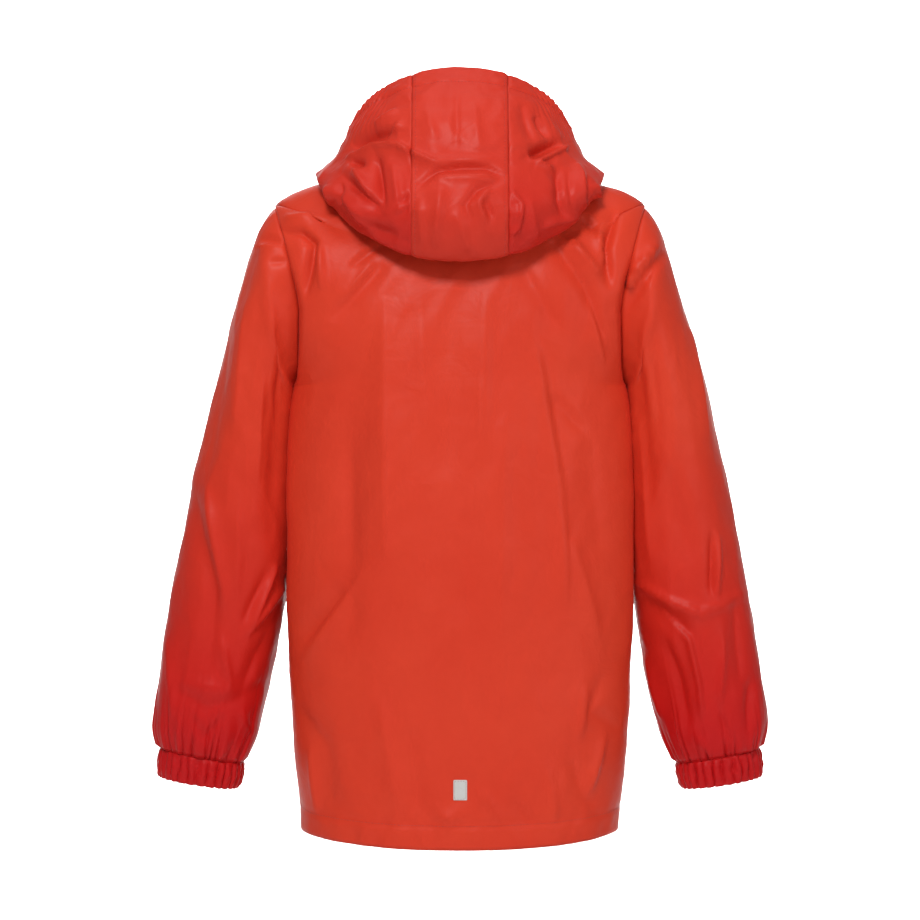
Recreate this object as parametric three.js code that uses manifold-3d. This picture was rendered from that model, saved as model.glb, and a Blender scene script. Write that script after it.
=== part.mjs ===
// A child's hooded rain jacket in thin coated cloth, filled out as if worn, with the hood thrown back.
// Millimetres, +Z up. The front faces -Y and the wearer's left is +X.
// The origin is the middle of the neck opening, level with the shoulders.
import * as THREE from "three";
import { mergeVertices } from "three/addons/utils/BufferGeometryUtils.js";
import Module from "manifold-3d";

const wasm = await Module();
wasm.setup();

// Cloth and seams
const clothThickness = 1.2;
const seamGap = 0.5;
const sleeveSeamGap = 0.9;
const casingDepth = 20;
const casingExtra = 0.7;

// How many pieces each stretch is divided into
const backHalfColumns = 12;
const frontColumns = 11;
const armholeRows = 14;
const shoulderRows = 4;
const hoodSeamColumn = 4;
const cuffGathers = 28;
const cuffStepsPerGather = 4;

// Body: side is how far out the side seam lies at a height, bulge how far the back swells out beyond it,
// back and front how deep the middle of each panel lies.
const bodySections = [
  { z: -591, side: 141, bulge: 0, back: 92, front: -93 },
  { z: -572, side: 142.5, bulge: 0, back: 92, front: -93 },
  { z: -549, side: 145, bulge: 0, back: 92, front: -93 },
  { z: -513, side: 148, bulge: 0, back: 92, front: -93 },
  { z: -468, side: 151, bulge: 0, back: 92, front: -92.5 },
  { z: -423, side: 152, bulge: 1, back: 92, front: -92 },
  { z: -378, side: 149.5, bulge: 6.5, back: 92, front: -91.5 },
  { z: -333, side: 147, bulge: 9, back: 92, front: -91 },
  { z: -288, side: 146, bulge: 9.5, back: 91.7, front: -90 },
  { z: -243, side: 144.5, bulge: 9, back: 90.8, front: -88.5 },
  { z: -205, side: 144, bulge: 5, back: 89.4, front: -86.8 },
  { z: -170, side: 144, bulge: 0, back: 87.4, front: -84.8 },
  { z: -130, side: 142, bulge: 0, back: 84, front: -81.5 },
  { z: -90, side: 142, bulge: 0, back: 78.5, front: -75 },
  { z: -62, side: 142, bulge: 0, back: 71, front: -66 },
  { z: -50, side: 142, bulge: 0, back: 66, front: -62 },
  { z: -38, side: 142, bulge: 0, back: 59, front: -58 },
  { z: -16, side: 142, bulge: 0, back: 40, front: -52 },
];
const roundness = 0.87;

// Hem, armhole, shoulder and neck
const hem = { sideZ: -582, backZ: -591, frontZ: -584, dipHeight: 120 };
const armhole = {
  bottomX: 144.5,
  bottomZ: -185,
  waistX: 142,
  waistZ: -120,
  topX: 165,
  topZ: -25,
  flare: 1.3,
  middleY: -2,
  halfDepth: 62,
};
const neck = { x: 66, y: -2, z: 8, backZ: -16, frontZ: -50 };
const shoulder = { crest: 7, skew: 0.6 };
const upperBackZ = -62;
const upperFrontZ = -85;
const zipHalfOpening = 7;

// Sleeve: one row for each ring, as the outer and the inner end of its width
const sleeveRings = [
  { outerX: 176.5, outerZ: -42, innerX: 149.8, innerZ: -188, halfDepth: 63, middleY: -4 },
  { outerX: 186, outerZ: -66, innerX: 149, innerZ: -195, halfDepth: 64, middleY: -7 },
  { outerX: 194, outerZ: -91, innerX: 149.2, innerZ: -205, halfDepth: 64, middleY: -10 },
  { outerX: 203, outerZ: -122, innerX: 149.4, innerZ: -219, halfDepth: 63.5, middleY: -12 },
  { outerX: 213, outerZ: -158, innerX: 149.4, innerZ: -237, halfDepth: 63, middleY: -14 },
  { outerX: 222.5, outerZ: -194, innerX: 149.6, innerZ: -258, halfDepth: 62, middleY: -15 },
  { outerX: 232, outerZ: -235, innerX: 150, innerZ: -284, halfDepth: 61, middleY: -16 },
  { outerX: 241, outerZ: -276, innerX: 150.8, innerZ: -313, halfDepth: 60, middleY: -17 },
  { outerX: 249, outerZ: -318, innerX: 153.6, innerZ: -345, halfDepth: 59, middleY: -18 },
  { outerX: 257.5, outerZ: -361, innerX: 159, innerZ: -380, halfDepth: 58, middleY: -19 },
  { outerX: 264.5, outerZ: -400, innerX: 165, innerZ: -415, halfDepth: 56.5, middleY: -20 },
  { outerX: 269.5, outerZ: -438, innerX: 172, innerZ: -448, halfDepth: 54.5, middleY: -20.5 },
];
// The last rings are finer, because the gathers over the cuff rise there.
const gatheredRings = [
  { outerX: 275, outerZ: -470, innerX: 179.5, innerZ: -480, halfDepth: 52, middleY: -21 },
  { outerX: 276, outerZ: -494, innerX: 186, innerZ: -503, halfDepth: 46, middleY: -21 },
  { outerX: 270.5, outerZ: -512, innerX: 197, innerZ: -525.5, halfDepth: 36, middleY: -21 },
];
const cuffTop = { outerX: 270.7, outerZ: -512.9, innerX: 197.2, innerZ: -526.4, halfDepth: 36, middleY: -21 };
const cuffFoot = { outerX: 272.5, outerZ: -538, innerX: 201.5, innerZ: -549, halfDepth: 34.5, middleY: -21 };
const cuffGatherHeight = 1.5;
const ringRoundness = 0.92;

// Hood: loops round the neck from the neck seam to the rim. It stands up, rolls over, falls behind the neck
// to its lowest fold, swells as a bag, tucks in and ends at the cased rim. The names after back, side and
// front are the three places that each loop passes.
const hoodLoops = [
  { name: "roll", width: 71, backY: 54, backZ: 12, sideY: 2, sideZ: 23, frontY: -64, frontZ: -40, steps: 2 },
  { name: "under", width: 96, backY: 84, backZ: -36, sideY: 9, sideZ: 16, frontY: -66, frontZ: -29, steps: 2 },
  { name: "fold", width: 119, backY: 106, backZ: -80, sideY: 17, sideZ: 6, frontY: -67, frontZ: -19, steps: 2 },
  { name: "bulge", width: 128, backY: 126, backZ: -40, sideY: 22, sideZ: 4, frontY: -68, frontZ: -12, steps: 3 },
  { name: "crease", width: 113, backY: 109, backZ: 6, sideY: 18, sideZ: 16, frontY: -68, frontZ: -6, steps: 2 },
  { name: "crown", width: 105, backY: 95, backZ: 48, sideY: 11, sideZ: 26, frontY: -68, frontZ: -2, steps: 2 },
  { name: "casing", width: 100, backY: 72, backZ: 79, sideY: 4, sideZ: 31, frontY: -67, frontZ: 2, steps: 2 },
  { name: "rim", width: 97, backY: 60, backZ: 92.5, sideY: -1, sideZ: 34, frontY: -66, frontZ: 5, steps: 1 },
];
const hoodSeamX = 42;

// Largest folds: a soft ridge (height above 0) or trough (below 0) between two points, seen from behind.
const backFolds = [
  { fromX: -67, fromZ: -150, toX: -96, toZ: -330, width: 11, height: -4 },
  { fromX: -84, fromZ: -190, toX: -117, toZ: -222, width: 12, height: -4 },
  { fromX: -95, fromZ: -70, toX: -133, toZ: -130, width: 10, height: -4 },
  { fromX: 58, fromZ: -80, toX: 115, toZ: -135, width: 14, height: -4 },
  { fromX: 74, fromZ: -150, toX: 76, toZ: -470, width: 20, height: -3 },
  { fromX: 68, fromZ: -345, toX: 142, toZ: -440, width: 22, height: -6 },
  { fromX: -146, fromZ: -440, toX: -130, toZ: -530, width: 16, height: -6 },
  { fromX: -40, fromZ: -420, toX: -52, toZ: -560, width: 26, height: 4 },
  { fromX: 10, fromZ: -545, toX: 30, toZ: -580, width: 9, height: 3 },
];
const frontFolds = [
  { fromX: 60, fromZ: -90, toX: 108, toZ: -160, width: 14, height: -4 },
  { fromX: 78, fromZ: -190, toX: 70, toZ: -480, width: 20, height: -3 },
  { fromX: 120, fromZ: -300, toX: 60, toZ: -420, width: 20, height: -5 },
  { fromX: 112, fromZ: -450, toX: 96, toZ: -560, width: 16, height: 4 },
];
// On a sleeve a fold runs between two places given as a share of the length from the armhole
// and degrees round from the inner side, over the back.
const leftSleeveFolds = [
  { from: 0.1, fromTurn: 120, to: 0.3, toTurn: 70, width: 14, height: -3 },
  { from: 0.62, fromTurn: 35, to: 0.85, toTurn: 105, width: 18, height: -5 },
  { from: 0.7, fromTurn: 20, to: 0.9, toTurn: 75, width: 14, height: 3 },
  { from: 0.3, fromTurn: 150, to: 0.72, toTurn: 160, width: 18, height: -3 },
  { from: 0.55, fromTurn: 325, to: 0.8, toTurn: 250, width: 18, height: -5 },
  { from: 0.1, fromTurn: 240, to: 0.3, toTurn: 305, width: 16, height: -5 },
];
const rightSleeveFolds = [
  { from: 0.05, fromTurn: 150, to: 0.27, toTurn: 60, width: 13, height: -7 },
  { from: 0.12, fromTurn: 150, to: 0.32, toTurn: 75, width: 12, height: 3 },
  { from: 0.62, fromTurn: 30, to: 0.88, toTurn: 110, width: 18, height: 4 },
  { from: 0.7, fromTurn: 20, to: 0.93, toTurn: 80, width: 15, height: -4 },
  { from: 0.35, fromTurn: 150, to: 0.7, toTurn: 165, width: 18, height: -3 },
  { from: 0.58, fromTurn: 325, to: 0.8, toTurn: 250, width: 18, height: -5 },
  { from: 0.1, fromTurn: 240, to: 0.3, toTurn: 305, width: 16, height: -5 },
];
const sleeveRound = 320;
const sleeveLength = 480;
const sleeveGatherHeights = [0.4, 1.3, 1.4];
const cuffSwell = 1.5;
const cuffThickness = 2;
const hoodFolds = [
  { fromX: 98, fromZ: 28, toX: 44, toZ: 24, width: 9, height: -7 },
  { fromX: 98, fromZ: 20, toX: 50, toZ: 8, width: 8, height: 5 },
  { fromX: 68, fromZ: 24, toX: 66, toZ: -38, width: 8, height: -5 },
  { fromX: 104, fromZ: 4, toX: 82, toZ: -36, width: 7, height: -5 },
  { fromX: -62, fromZ: 30, toX: -92, toZ: 38, width: 9, height: -7 },
  { fromX: -62, fromZ: 14, toX: -100, toZ: 36, width: 7, height: 4 },
  { fromX: -86, fromZ: 10, toX: -84, toZ: -36, width: 8, height: -5 },
  { fromX: -110, fromZ: 12, toX: -98, toZ: -26, width: 7, height: 4 },
  { fromX: -14, fromZ: -8, toX: -22, toZ: -52, width: 7, height: -3.5 },
];
// The hood's folds lie on its outer layer. The elastic gathers lie beside the rim, away from the middle.
const hoodRelief = {
  foldsFrom: 3.5,
  foldsFade: 30,
  gathersReach: 3,
  gathersFromX: 55,
  gathersFromY: -25,
  fade: 20,
};
const rimGathersPerTurn = 45;
const rimGatherHeight = 1.4;

// Reflective patch on the lower back
const patch = { width: 12.5, height: 18, thickness: 0.6, x: -0.2, z: -538.5, lift: 0.35 };

// Zip: tapes behind the front edges, slider at the top and its hinged pull
const zip = {
  tapeWidth: 14,
  tapeThickness: 0.9,
  setBack: 1.7,
  outerSetBack: 1.6,
  innerEdge: 0.4,
  spreadEdge: 1.7,
  footZ: -580,
  topZ: 2,
  stepHeight: 4,
};
const slider = { z: -10, width: 9, length: 12, corner: 2.5, plate: 1.2, halfOpening: 1.7 };
const sliderNeck = { width: 2.2, length: 3.4, inset: 0.8 };
const crown = { width: 2.2, length: 9.2, height: 3.8, sink: 0.2, opening: 2.5, leg: 1.9 };
const pull = { width: 7, length: 25, thickness: 1.3, eyeWidth: 3.6, eyeLength: 5.3, bar: 1.6, tipRadius: 3 };

// Small tools
const clamp01 = (a) => Math.min(1, Math.max(0, a));
const smooth = (a) => clamp01(a) ** 2 * (3 - 2 * clamp01(a));
const mix = (a, b, share) => a + (b - a) * share;
const power = (base, exponent) => Math.max(0, base) ** exponent;

// A smooth value from a table's column, at any place along its key column.
function column(table, key, value) {
  const rows = [...table].sort((a, b) => a[key] - b[key]);
  const slope = (i) => {
    const low = rows[Math.max(0, i - 1)];
    const high = rows[Math.min(rows.length - 1, i + 1)];
    return (high[value] - low[value]) / (high[key] - low[key]);
  };
  return (at) => {
    const last = rows.length - 1;
    if (at <= rows[0][key]) return rows[0][value];
    if (at >= rows[last][key]) return rows[last][value];
    const i = rows.findIndex((row) => row[key] > at) - 1;
    const span = rows[i + 1][key] - rows[i][key];
    const s = (at - rows[i][key]) / span;
    return (
      (2 * s ** 3 - 3 * s ** 2 + 1) * rows[i][value] +
      (s ** 3 - 2 * s ** 2 + s) * span * slope(i) +
      (3 * s ** 2 - 2 * s ** 3) * rows[i + 1][value] +
      (s ** 3 - s ** 2) * span * slope(i + 1)
    );
  };
}

const bodySide = column(bodySections, "z", "side");
const bodyBulge = column(bodySections, "z", "bulge");
const bodyBack = column(bodySections, "z", "back");
const bodyFront = column(bodySections, "z", "front");

// How strongly a fold is felt at a place: 1 along its line, fading to both sides and at both ends.
function foldShare(x, z, fromX, fromZ, toX, toZ, width) {
  const dx = toX - fromX;
  const dz = toZ - fromZ;
  const along = ((x - fromX) * dx + (z - fromZ) * dz) / (dx * dx + dz * dz);
  const near = clamp01(along);
  const off = Math.hypot(x - fromX - near * dx, z - fromZ - near * dz);
  return Math.exp(-((off / width) ** 2)) * (0.35 + 0.65 * Math.sin(Math.PI * near));
}

const foldHeight = (folds, x, z) =>
  folds.reduce((sum, f) => sum + f.height * foldShare(x, z, f.fromX, f.fromZ, f.toX, f.toZ, f.width), 0);

// Rows of the body, from the hem to the neckline. Each gives its edge and the height of its middle.
const lowerRows = [
  { rise: 0, casing: true },
  { rise: casingDepth, casing: true },
  { rise: casingDepth + 2 },
  { rise: 60 },
  { rise: 100 },
  { rise: 142 },
  { rise: 184 },
  { rise: 226 },
  { rise: 268 },
  { rise: 310 },
  { rise: 346 },
  { rise: 375 },
];

function armholePoint(turn) {
  const middleZ = (armhole.topZ + armhole.bottomZ) / 2;
  const halfHeight = (armhole.topZ - armhole.bottomZ) / 2;
  const z = middleZ - halfHeight * Math.cos(turn);
  const above = clamp01((z - armhole.waistZ) / (armhole.topZ - armhole.waistZ));
  const below = clamp01((armhole.waistZ - z) / (armhole.waistZ - armhole.bottomZ));
  const flare = (armhole.topX - armhole.waistX) * above ** armhole.flare;
  const x = armhole.waistX + flare + (armhole.bottomX - armhole.waistX) * below;
  return new THREE.Vector3(x, armhole.middleY + armhole.halfDepth * Math.sin(turn), z);
}

function bodyRows(facing) {
  const upperZ = facing > 0 ? upperBackZ : upperFrontZ;
  const neckMiddleZ = facing > 0 ? neck.backZ : neck.frontZ;
  const hemMiddleZ = facing > 0 ? hem.backZ : hem.frontZ;
  const rows = lowerRows.map(({ rise, casing }) => {
    const z = hem.sideZ + rise;
    return {
      edge: new THREE.Vector3(bodySide(z), armhole.middleY, z),
      middleZ: z + (hemMiddleZ - hem.sideZ) * clamp01(1 - rise / hem.dipHeight),
      casing,
    };
  });
  for (let i = 0; i <= armholeRows; i++) {
    const share = i / armholeRows;
    rows.push({
      edge: armholePoint(facing * Math.PI * share),
      middleZ: mix(armhole.bottomZ, upperZ, share),
    });
  }
  const tip = armholePoint(Math.PI);
  for (let i = 1; i <= shoulderRows; i++) {
    const share = i / shoulderRows;
    const crest = shoulder.crest * Math.sin(Math.PI * share ** shoulder.skew);
    rows.push({
      edge: new THREE.Vector3(
        mix(tip.x, neck.x, share),
        mix(tip.y, neck.y, share),
        mix(tip.z, neck.z, share) + crest,
      ),
      middleZ: mix(upperZ, neckMiddleZ, share),
    });
  }
  return rows;
}

// A point of the body: a row and a share of the way from the panel's middle (0) to its edge (1).
// facing is 1 for the back and -1 for the front, side is 1 on the wearer's left.
// The row follows a rounded section, which ends at the side seam, the armhole or the shoulder seam.
function bodyPoint(row, facing, share, side) {
  const inner = facing > 0 ? 0 : zipHalfOpening;
  const middleY = facing > 0 ? bodyBack(row.middleZ) : bodyFront(row.middleZ);
  const edgeDepth = (row.edge.y - armhole.middleY) / (middleY - armhole.middleY);
  const end = Math.acos(power(edgeDepth, 1 / roundness));
  const turn = share * end;
  const reach = (Math.sin(turn) / Math.sin(end)) ** roundness;
  const bulge = facing > 0 ? bodyBulge(row.edge.z) * Math.sin(Math.PI * share ** 4) : 0;
  return new THREE.Vector3(
    side * (mix(inner, row.edge.x, reach) + bulge),
    mix(armhole.middleY, middleY, power(Math.cos(turn), roundness)),
    mix(row.middleZ, row.edge.z, Math.sin((share * Math.PI) / 2) ** 2),
  );
}

// A point of a sleeve or cuff: a turn round one ring, from its inner side over the back.
const rounded = (value) => Math.sign(value) * Math.abs(value) ** ringRoundness;
function ringPoint(ring, turn) {
  const reach = -rounded(Math.cos(turn)) / 2;
  return new THREE.Vector3(
    (ring.outerX + ring.innerX) / 2 + reach * (ring.outerX - ring.innerX),
    ring.middleY + ring.halfDepth * rounded(Math.sin(turn)),
    (ring.outerZ + ring.innerZ) / 2 + reach * (ring.outerZ - ring.innerZ),
  );
}

// A point of the hood on one loop. step counts columns from the middle of the back round to the zip.
function hoodLoopPoint(loop, step, side) {
  const seamTurn = Math.asin(hoodSeamX / loop.width);
  const quarter = Math.PI / 2;
  const endTurn = Math.PI - Math.asin(zipHalfOpening / loop.width);
  let turn;
  if (step <= hoodSeamColumn) turn = (seamTurn * step) / hoodSeamColumn;
  else if (step <= backHalfColumns)
    turn = mix(seamTurn, quarter, (step - hoodSeamColumn) / (backHalfColumns - hoodSeamColumn));
  else turn = mix(quarter, endTurn, (step - backHalfColumns) / frontColumns);
  const back = Math.max(0, Math.cos(turn));
  const front = Math.max(0, -Math.cos(turn));
  return new THREE.Vector3(
    side * loop.width * Math.sin(turn),
    loop.sideY + back * (loop.backY - loop.sideY) + front * (loop.frontY - loop.sideY),
    loop.sideZ + back * (loop.backZ - loop.sideZ) + front ** 2 * (loop.frontZ - loop.sideZ),
  );
}

// A sheet is the middle surface of one piece of cloth: rows of points, running so that it faces out.
// Where a row has twice the points of the one before, each gap of the first is joined to two of the second.
function makeSheet(rows, { closed = false, turned = false } = {}) {
  const starts = [];
  let count = 0;
  for (const row of rows) {
    starts.push(count);
    count += row.length;
  }
  const at = (j, i) => starts[j] + (i % rows[j].length);
  const triangles = [];
  for (let j = 0; j < rows.length - 1; j++) {
    const gaps = closed ? rows[j].length : rows[j].length - 1;
    const doubled = rows[j + 1].length > rows[j].length;
    for (let i = 0; i < gaps; i++) {
      if (doubled) {
        triangles.push([at(j, i), at(j, i + 1), at(j + 1, 2 * i + 1)]);
        triangles.push([at(j, i), at(j + 1, 2 * i + 1), at(j + 1, 2 * i)]);
        triangles.push([at(j, i + 1), at(j + 1, 2 * i + 2), at(j + 1, 2 * i + 1)]);
      } else {
        triangles.push([at(j, i), at(j, i + 1), at(j + 1, i + 1)]);
        triangles.push([at(j, i), at(j + 1, i + 1), at(j + 1, i)]);
      }
    }
  }
  return { rows, triangles: turned ? triangles.map(([a, b, c]) => [a, c, b]) : triangles };
}

function makeRows(rowCount, columnCount, point) {
  return Array.from({ length: rowCount }, (_, j) => Array.from({ length: columnCount }, (_, i) => point(i, j)));
}

// The direction in which the triangle a, b, c faces.
const across = (a, b, c) => new THREE.Vector3().crossVectors(b.clone().sub(a), c.clone().sub(a));

// Normals are summed in a table shared by sheets that meet, so that they lean the same way at a seam.
const samePlace = 0.02;
const placeKey = (p) => [p.x, p.y, p.z].map((value) => Math.round(value / samePlace)).join();
function normalTable(sheets) {
  const table = new Map();
  for (const sheet of sheets) {
    const points = sheet.rows.flat();
    for (const corners of sheet.triangles) {
      const [a, b, c] = corners.map((k) => points[k]);
      const out = across(a, b, c);
      if (out.length() < 1e-6) continue;
      out.normalize();
      for (const p of [a, b, c]) {
        const key = placeKey(p);
        if (!table.has(key)) table.set(key, new THREE.Vector3());
        table.get(key).add(out);
      }
    }
  }
  return (p) => table.get(placeKey(p)).clone().normalize();
}

// The same sheet with every point moved out by height(point, column, row).
function raised(sheet, normalOf, height) {
  const move = (p, i, j) => p.clone().addScaledVector(normalOf(p), height(p, i, j));
  return { ...sheet, rows: sheet.rows.map((row, j) => row.map((p, i) => move(p, i, j))) };
}

// A closed wall of cloth on a sheet. Its edges are drawn back along the cloth, so that neighbours stay apart.
function clothWall(sheet, normalOf, { extra = () => 0, thickness = clothThickness, gap = seamGap } = {}) {
  const points = sheet.rows.flat();
  const edges = new Map();
  for (const [a, b, c] of sheet.triangles) {
    const out = across(points[a], points[b], points[c]);
    for (const [from, to] of [[a, b], [b, c], [c, a]]) {
      if (edges.has(`${to},${from}`)) edges.delete(`${to},${from}`);
      else edges.set(`${from},${to}`, { from, to, out });
    }
  }
  const inward = new Map();
  for (const { from, to, out } of edges.values()) {
    const into = new THREE.Vector3().crossVectors(out, points[to].clone().sub(points[from])).normalize();
    for (const k of [from, to]) inward.set(k, [...(inward.get(k) ?? []), into]);
  }
  const skin = (distance) =>
    sheet.rows.flatMap((row, j) =>
      row.map((p, i) => {
        const k = points.indexOf(p);
        const moved = p.clone().addScaledVector(normalOf(p), distance(i, j));
        if (inward.has(k)) {
          const [first, second] = inward.get(k);
          const reach = gap / 2 / Math.max(0.5, 1 + first.dot(second));
          moved.addScaledVector(first, reach).addScaledVector(second, reach);
        }
        return moved;
      }),
    );
  const outer = skin((i, j) => thickness / 2 + extra(i, j));
  const inner = skin(() => -thickness / 2);
  const under = points.length;
  const faces = sheet.triangles.flatMap(([a, b, c]) => [a, b, c, a + under, c + under, b + under]);
  for (const { from, to } of edges.values()) {
    faces.push(to, from, from + under, to, from + under, to + under);
  }
  const geometry = new THREE.BufferGeometry();
  const corners = [...outer, ...inner].flatMap((p) => p.toArray());
  geometry.setAttribute("position", new THREE.Float32BufferAttribute(corners, 3));
  geometry.setIndex(faces);
  return geometry;
}

// Colours read from the cloth, the patch and the metal
const material = (color, roughness, metalness = 0) =>
  new THREE.MeshStandardMaterial({ color, roughness, metalness });
const coatedCloth = material(0xd8402c, 0.42);
const hoodCloth = material(0xd03c2c, 0.42);
const cuffCloth = material(0xc4202a, 0.45);
const reflectivePatch = material(0xd6d8d4, 0.35, 0.2);
const zipTapeWeave = material(0xb5201f, 0.8);
const paintedMetal = material(0xa81c1c, 0.4, 0.3);

const jacket = new THREE.Group();
function addMesh(name, geometry, finish) {
  const mesh = new THREE.Mesh(geometry, finish);
  mesh.name = name;
  jacket.add(mesh);
}

// Body
const sides = [
  { name: "left", side: 1 },
  { name: "right", side: -1 },
];
const backRows = bodyRows(1);
const frontRows = bodyRows(-1);
const plainBack = makeSheet(
  makeRows(backRows.length, 2 * backHalfColumns + 1, (i, j) => {
    const share = (backHalfColumns - i) / backHalfColumns;
    return bodyPoint(backRows[j], 1, Math.abs(share), share < 0 ? -1 : 1);
  }),
);
const plainFronts = sides.map(({ side }) =>
  makeSheet(
    makeRows(frontRows.length, frontColumns + 1, (i, j) => {
      const share = side > 0 ? i / frontColumns : 1 - i / frontColumns;
      return bodyPoint(frontRows[j], -1, share, side);
    }),
  ),
);

// Sleeves. The first row is the armhole, and its points are the ends of the body's rows.
const ringColumns = 2 * armholeRows;
const plainSleeves = sides.map(({ side }) => {
  const ring = (count, point) =>
    Array.from({ length: count }, (_, i) => {
      const p = point((i / count) * 2 * Math.PI);
      p.x *= side;
      return p;
    });
  const rows = [ring(ringColumns, (turn) => armholePoint(turn <= Math.PI ? turn : turn - 2 * Math.PI))];
  for (const row of sleeveRings) rows.push(ring(ringColumns, (turn) => ringPoint(row, turn)));
  for (const row of gatheredRings) rows.push(ring(2 * ringColumns, (turn) => ringPoint(row, turn)));
  return makeSheet(rows, { closed: true, turned: side < 0 });
});

// Hood. The neck seam is the body's last row, and a smooth curve runs through the loops at each column.
function neckSeamPoint(step, side) {
  if (step <= backHalfColumns) return bodyPoint(backRows.at(-1), 1, step / backHalfColumns, side);
  return bodyPoint(frontRows.at(-1), -1, 1 - (step - backHalfColumns) / frontColumns, side);
}
const hoodStations = [0];
hoodLoops.forEach((loop, k) => {
  for (let n = 1; n <= loop.steps; n++) hoodStations.push(k + n / loop.steps);
});
function hoodPoint(step, station, side) {
  const line = [neckSeamPoint(step, side), ...hoodLoops.map((loop) => hoodLoopPoint(loop, step, side))];
  return new THREE.CatmullRomCurve3(line, false, "centripetal").getPoint(station / hoodLoops.length);
}
const plainHoodCentre = makeSheet(
  makeRows(hoodStations.length, 2 * hoodSeamColumn + 1, (i, j) => {
    const step = hoodSeamColumn - i;
    return hoodPoint(Math.abs(step), hoodStations[j], step < 0 ? -1 : 1);
  }),
);
const hoodSideColumns = backHalfColumns + frontColumns - hoodSeamColumn;
const plainHoodSides = sides.map(({ side }) =>
  makeSheet(
    makeRows(hoodStations.length, hoodSideColumns + 1, (i, j) =>
      hoodPoint(hoodSeamColumn + (side > 0 ? hoodSideColumns - i : i), hoodStations[j], side),
    ),
  ),
);

// Folds are added to the plain form, and fade out at the seams so that neighbours still meet.
const plainSheets = [plainBack, ...plainFronts, ...plainSleeves, plainHoodCentre, ...plainHoodSides];
const plainNormal = normalTable(plainSheets);
const hemFade = (j) => (j < 3 ? 0.6 : 1);
const neckFade = (j, rows) => smooth((rows.length - 1 - j) / 3);
const foldedBack = raised(plainBack, plainNormal, (p, i, j) => {
  const fromEdge = Math.min(i, 2 * backHalfColumns - i);
  return smooth(fromEdge / 1.5) * hemFade(j) * neckFade(j, backRows) * foldHeight(backFolds, p.x, p.z);
});
const foldedFronts = plainFronts.map((sheet, k) =>
  raised(sheet, plainNormal, (p, i, j) => {
    const fromZip = k === 0 ? i : frontColumns - i;
    const fade = smooth((frontColumns - fromZip) / 1.5) * smooth(fromZip / 2);
    return fade * hemFade(j) * neckFade(j, frontRows) * foldHeight(frontFolds, Math.abs(p.x), p.z);
  }),
);
function sleeveHeight(folds, i, j) {
  const gatheredFrom = sleeveRings.length + 1;
  if (j >= gatheredFrom) {
    const gather = sleeveGatherHeights[j - gatheredFrom];
    return i % 2 === 0 ? gather : -gather;
  }
  const share = j / (sleeveRings.length + gatheredRings.length);
  const round = (i / ringColumns) * sleeveRound;
  const height = folds.reduce((sum, f) => {
    const fromRound = (f.fromTurn / 360) * sleeveRound;
    const toRound = (f.toTurn / 360) * sleeveRound;
    const from = f.from * sleeveLength;
    const to = f.to * sleeveLength;
    return sum + f.height * foldShare(round, share * sleeveLength, fromRound, from, toRound, to, f.width);
  }, 0);
  return height * smooth(j / 2) * smooth((gatheredFrom + 1 - j) / 2);
}
const foldedSleeves = plainSleeves.map((sheet, k) => {
  const folds = k === 0 ? leftSleeveFolds : rightSleeveFolds;
  return raised(sheet, plainNormal, (p, i, j) => sleeveHeight(folds, i, j));
});
function hoodHeight(p, j) {
  const station = hoodStations[j];
  const toRim = hoodLoops.length - station;
  const { foldsFrom, foldsFade, gathersReach, gathersFromX, gathersFromY, fade } = hoodRelief;
  const outerLayer = smooth(station - foldsFrom) * smooth(toRim - 0.5) * smooth(p.y / foldsFade);
  const atRim = smooth((gathersReach - toRim) / 2);
  const beside = smooth((Math.abs(p.x) - gathersFromX) / fade) * smooth((p.y - gathersFromY) / fade);
  const gather = rimGatherHeight * Math.cos(Math.atan2(p.y - 5, Math.abs(p.x)) * rimGathersPerTurn);
  return outerLayer * foldHeight(hoodFolds, p.x, p.z) + atRim * beside * gather;
}
const foldedCentre = raised(plainHoodCentre, plainNormal, (p, i, j) => hoodHeight(p, j));
const hoodLift = (p, i, j) => hoodHeight(p, j);
const foldedHoodSides = plainHoodSides.map((sheet) => raised(sheet, plainNormal, hoodLift));
const normalOf = normalTable([foldedBack, ...foldedFronts, ...foldedSleeves, foldedCentre, ...foldedHoodSides]);

// Body panels and sleeves
const hemCasing = (rows) => (i, j) => (rows[j].casing ? casingExtra : 0);
addMesh("back", clothWall(foldedBack, normalOf, { extra: hemCasing(backRows) }), coatedCloth);
sides.forEach(({ name }, k) => {
  addMesh(`front_${name}`, clothWall(foldedFronts[k], normalOf, { extra: hemCasing(frontRows) }), coatedCloth);
  addMesh(`sleeve_${name}`, clothWall(foldedSleeves[k], normalOf, { gap: sleeveSeamGap }), coatedCloth);
});

// Cuffs
function cuffRow(share, gatherShare, side) {
  const ring = {};
  for (const key of Object.keys(cuffTop)) ring[key] = mix(cuffTop[key], cuffFoot[key], share);
  const middle = ringPoint(ring, 0).add(ringPoint(ring, Math.PI)).multiplyScalar(0.5);
  const count = cuffGathers * cuffStepsPerGather;
  return Array.from({ length: count }, (_, i) => {
    const turn = (i / count) * 2 * Math.PI;
    const p = ringPoint(ring, turn);
    const out = p.clone().sub(middle).normalize();
    const uneven = 0.8 + 0.2 * Math.sin(3 * turn + 1);
    const gather = cuffGatherHeight * gatherShare * uneven * Math.cos(turn * cuffGathers);
    p.addScaledVector(out, cuffSwell * Math.sin(Math.PI * share) + gather);
    p.x *= side;
    return p;
  });
}
sides.forEach(({ name, side }) => {
  const rows = [cuffRow(0, 0.6, side), cuffRow(0.5, 1, side), cuffRow(1, 0.6, side)];
  const sheet = makeSheet(rows, { closed: true, turned: side < 0 });
  addMesh(`cuff_${name}`, clothWall(sheet, normalTable([sheet]), { thickness: cuffThickness }), cuffCloth);
});

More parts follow.
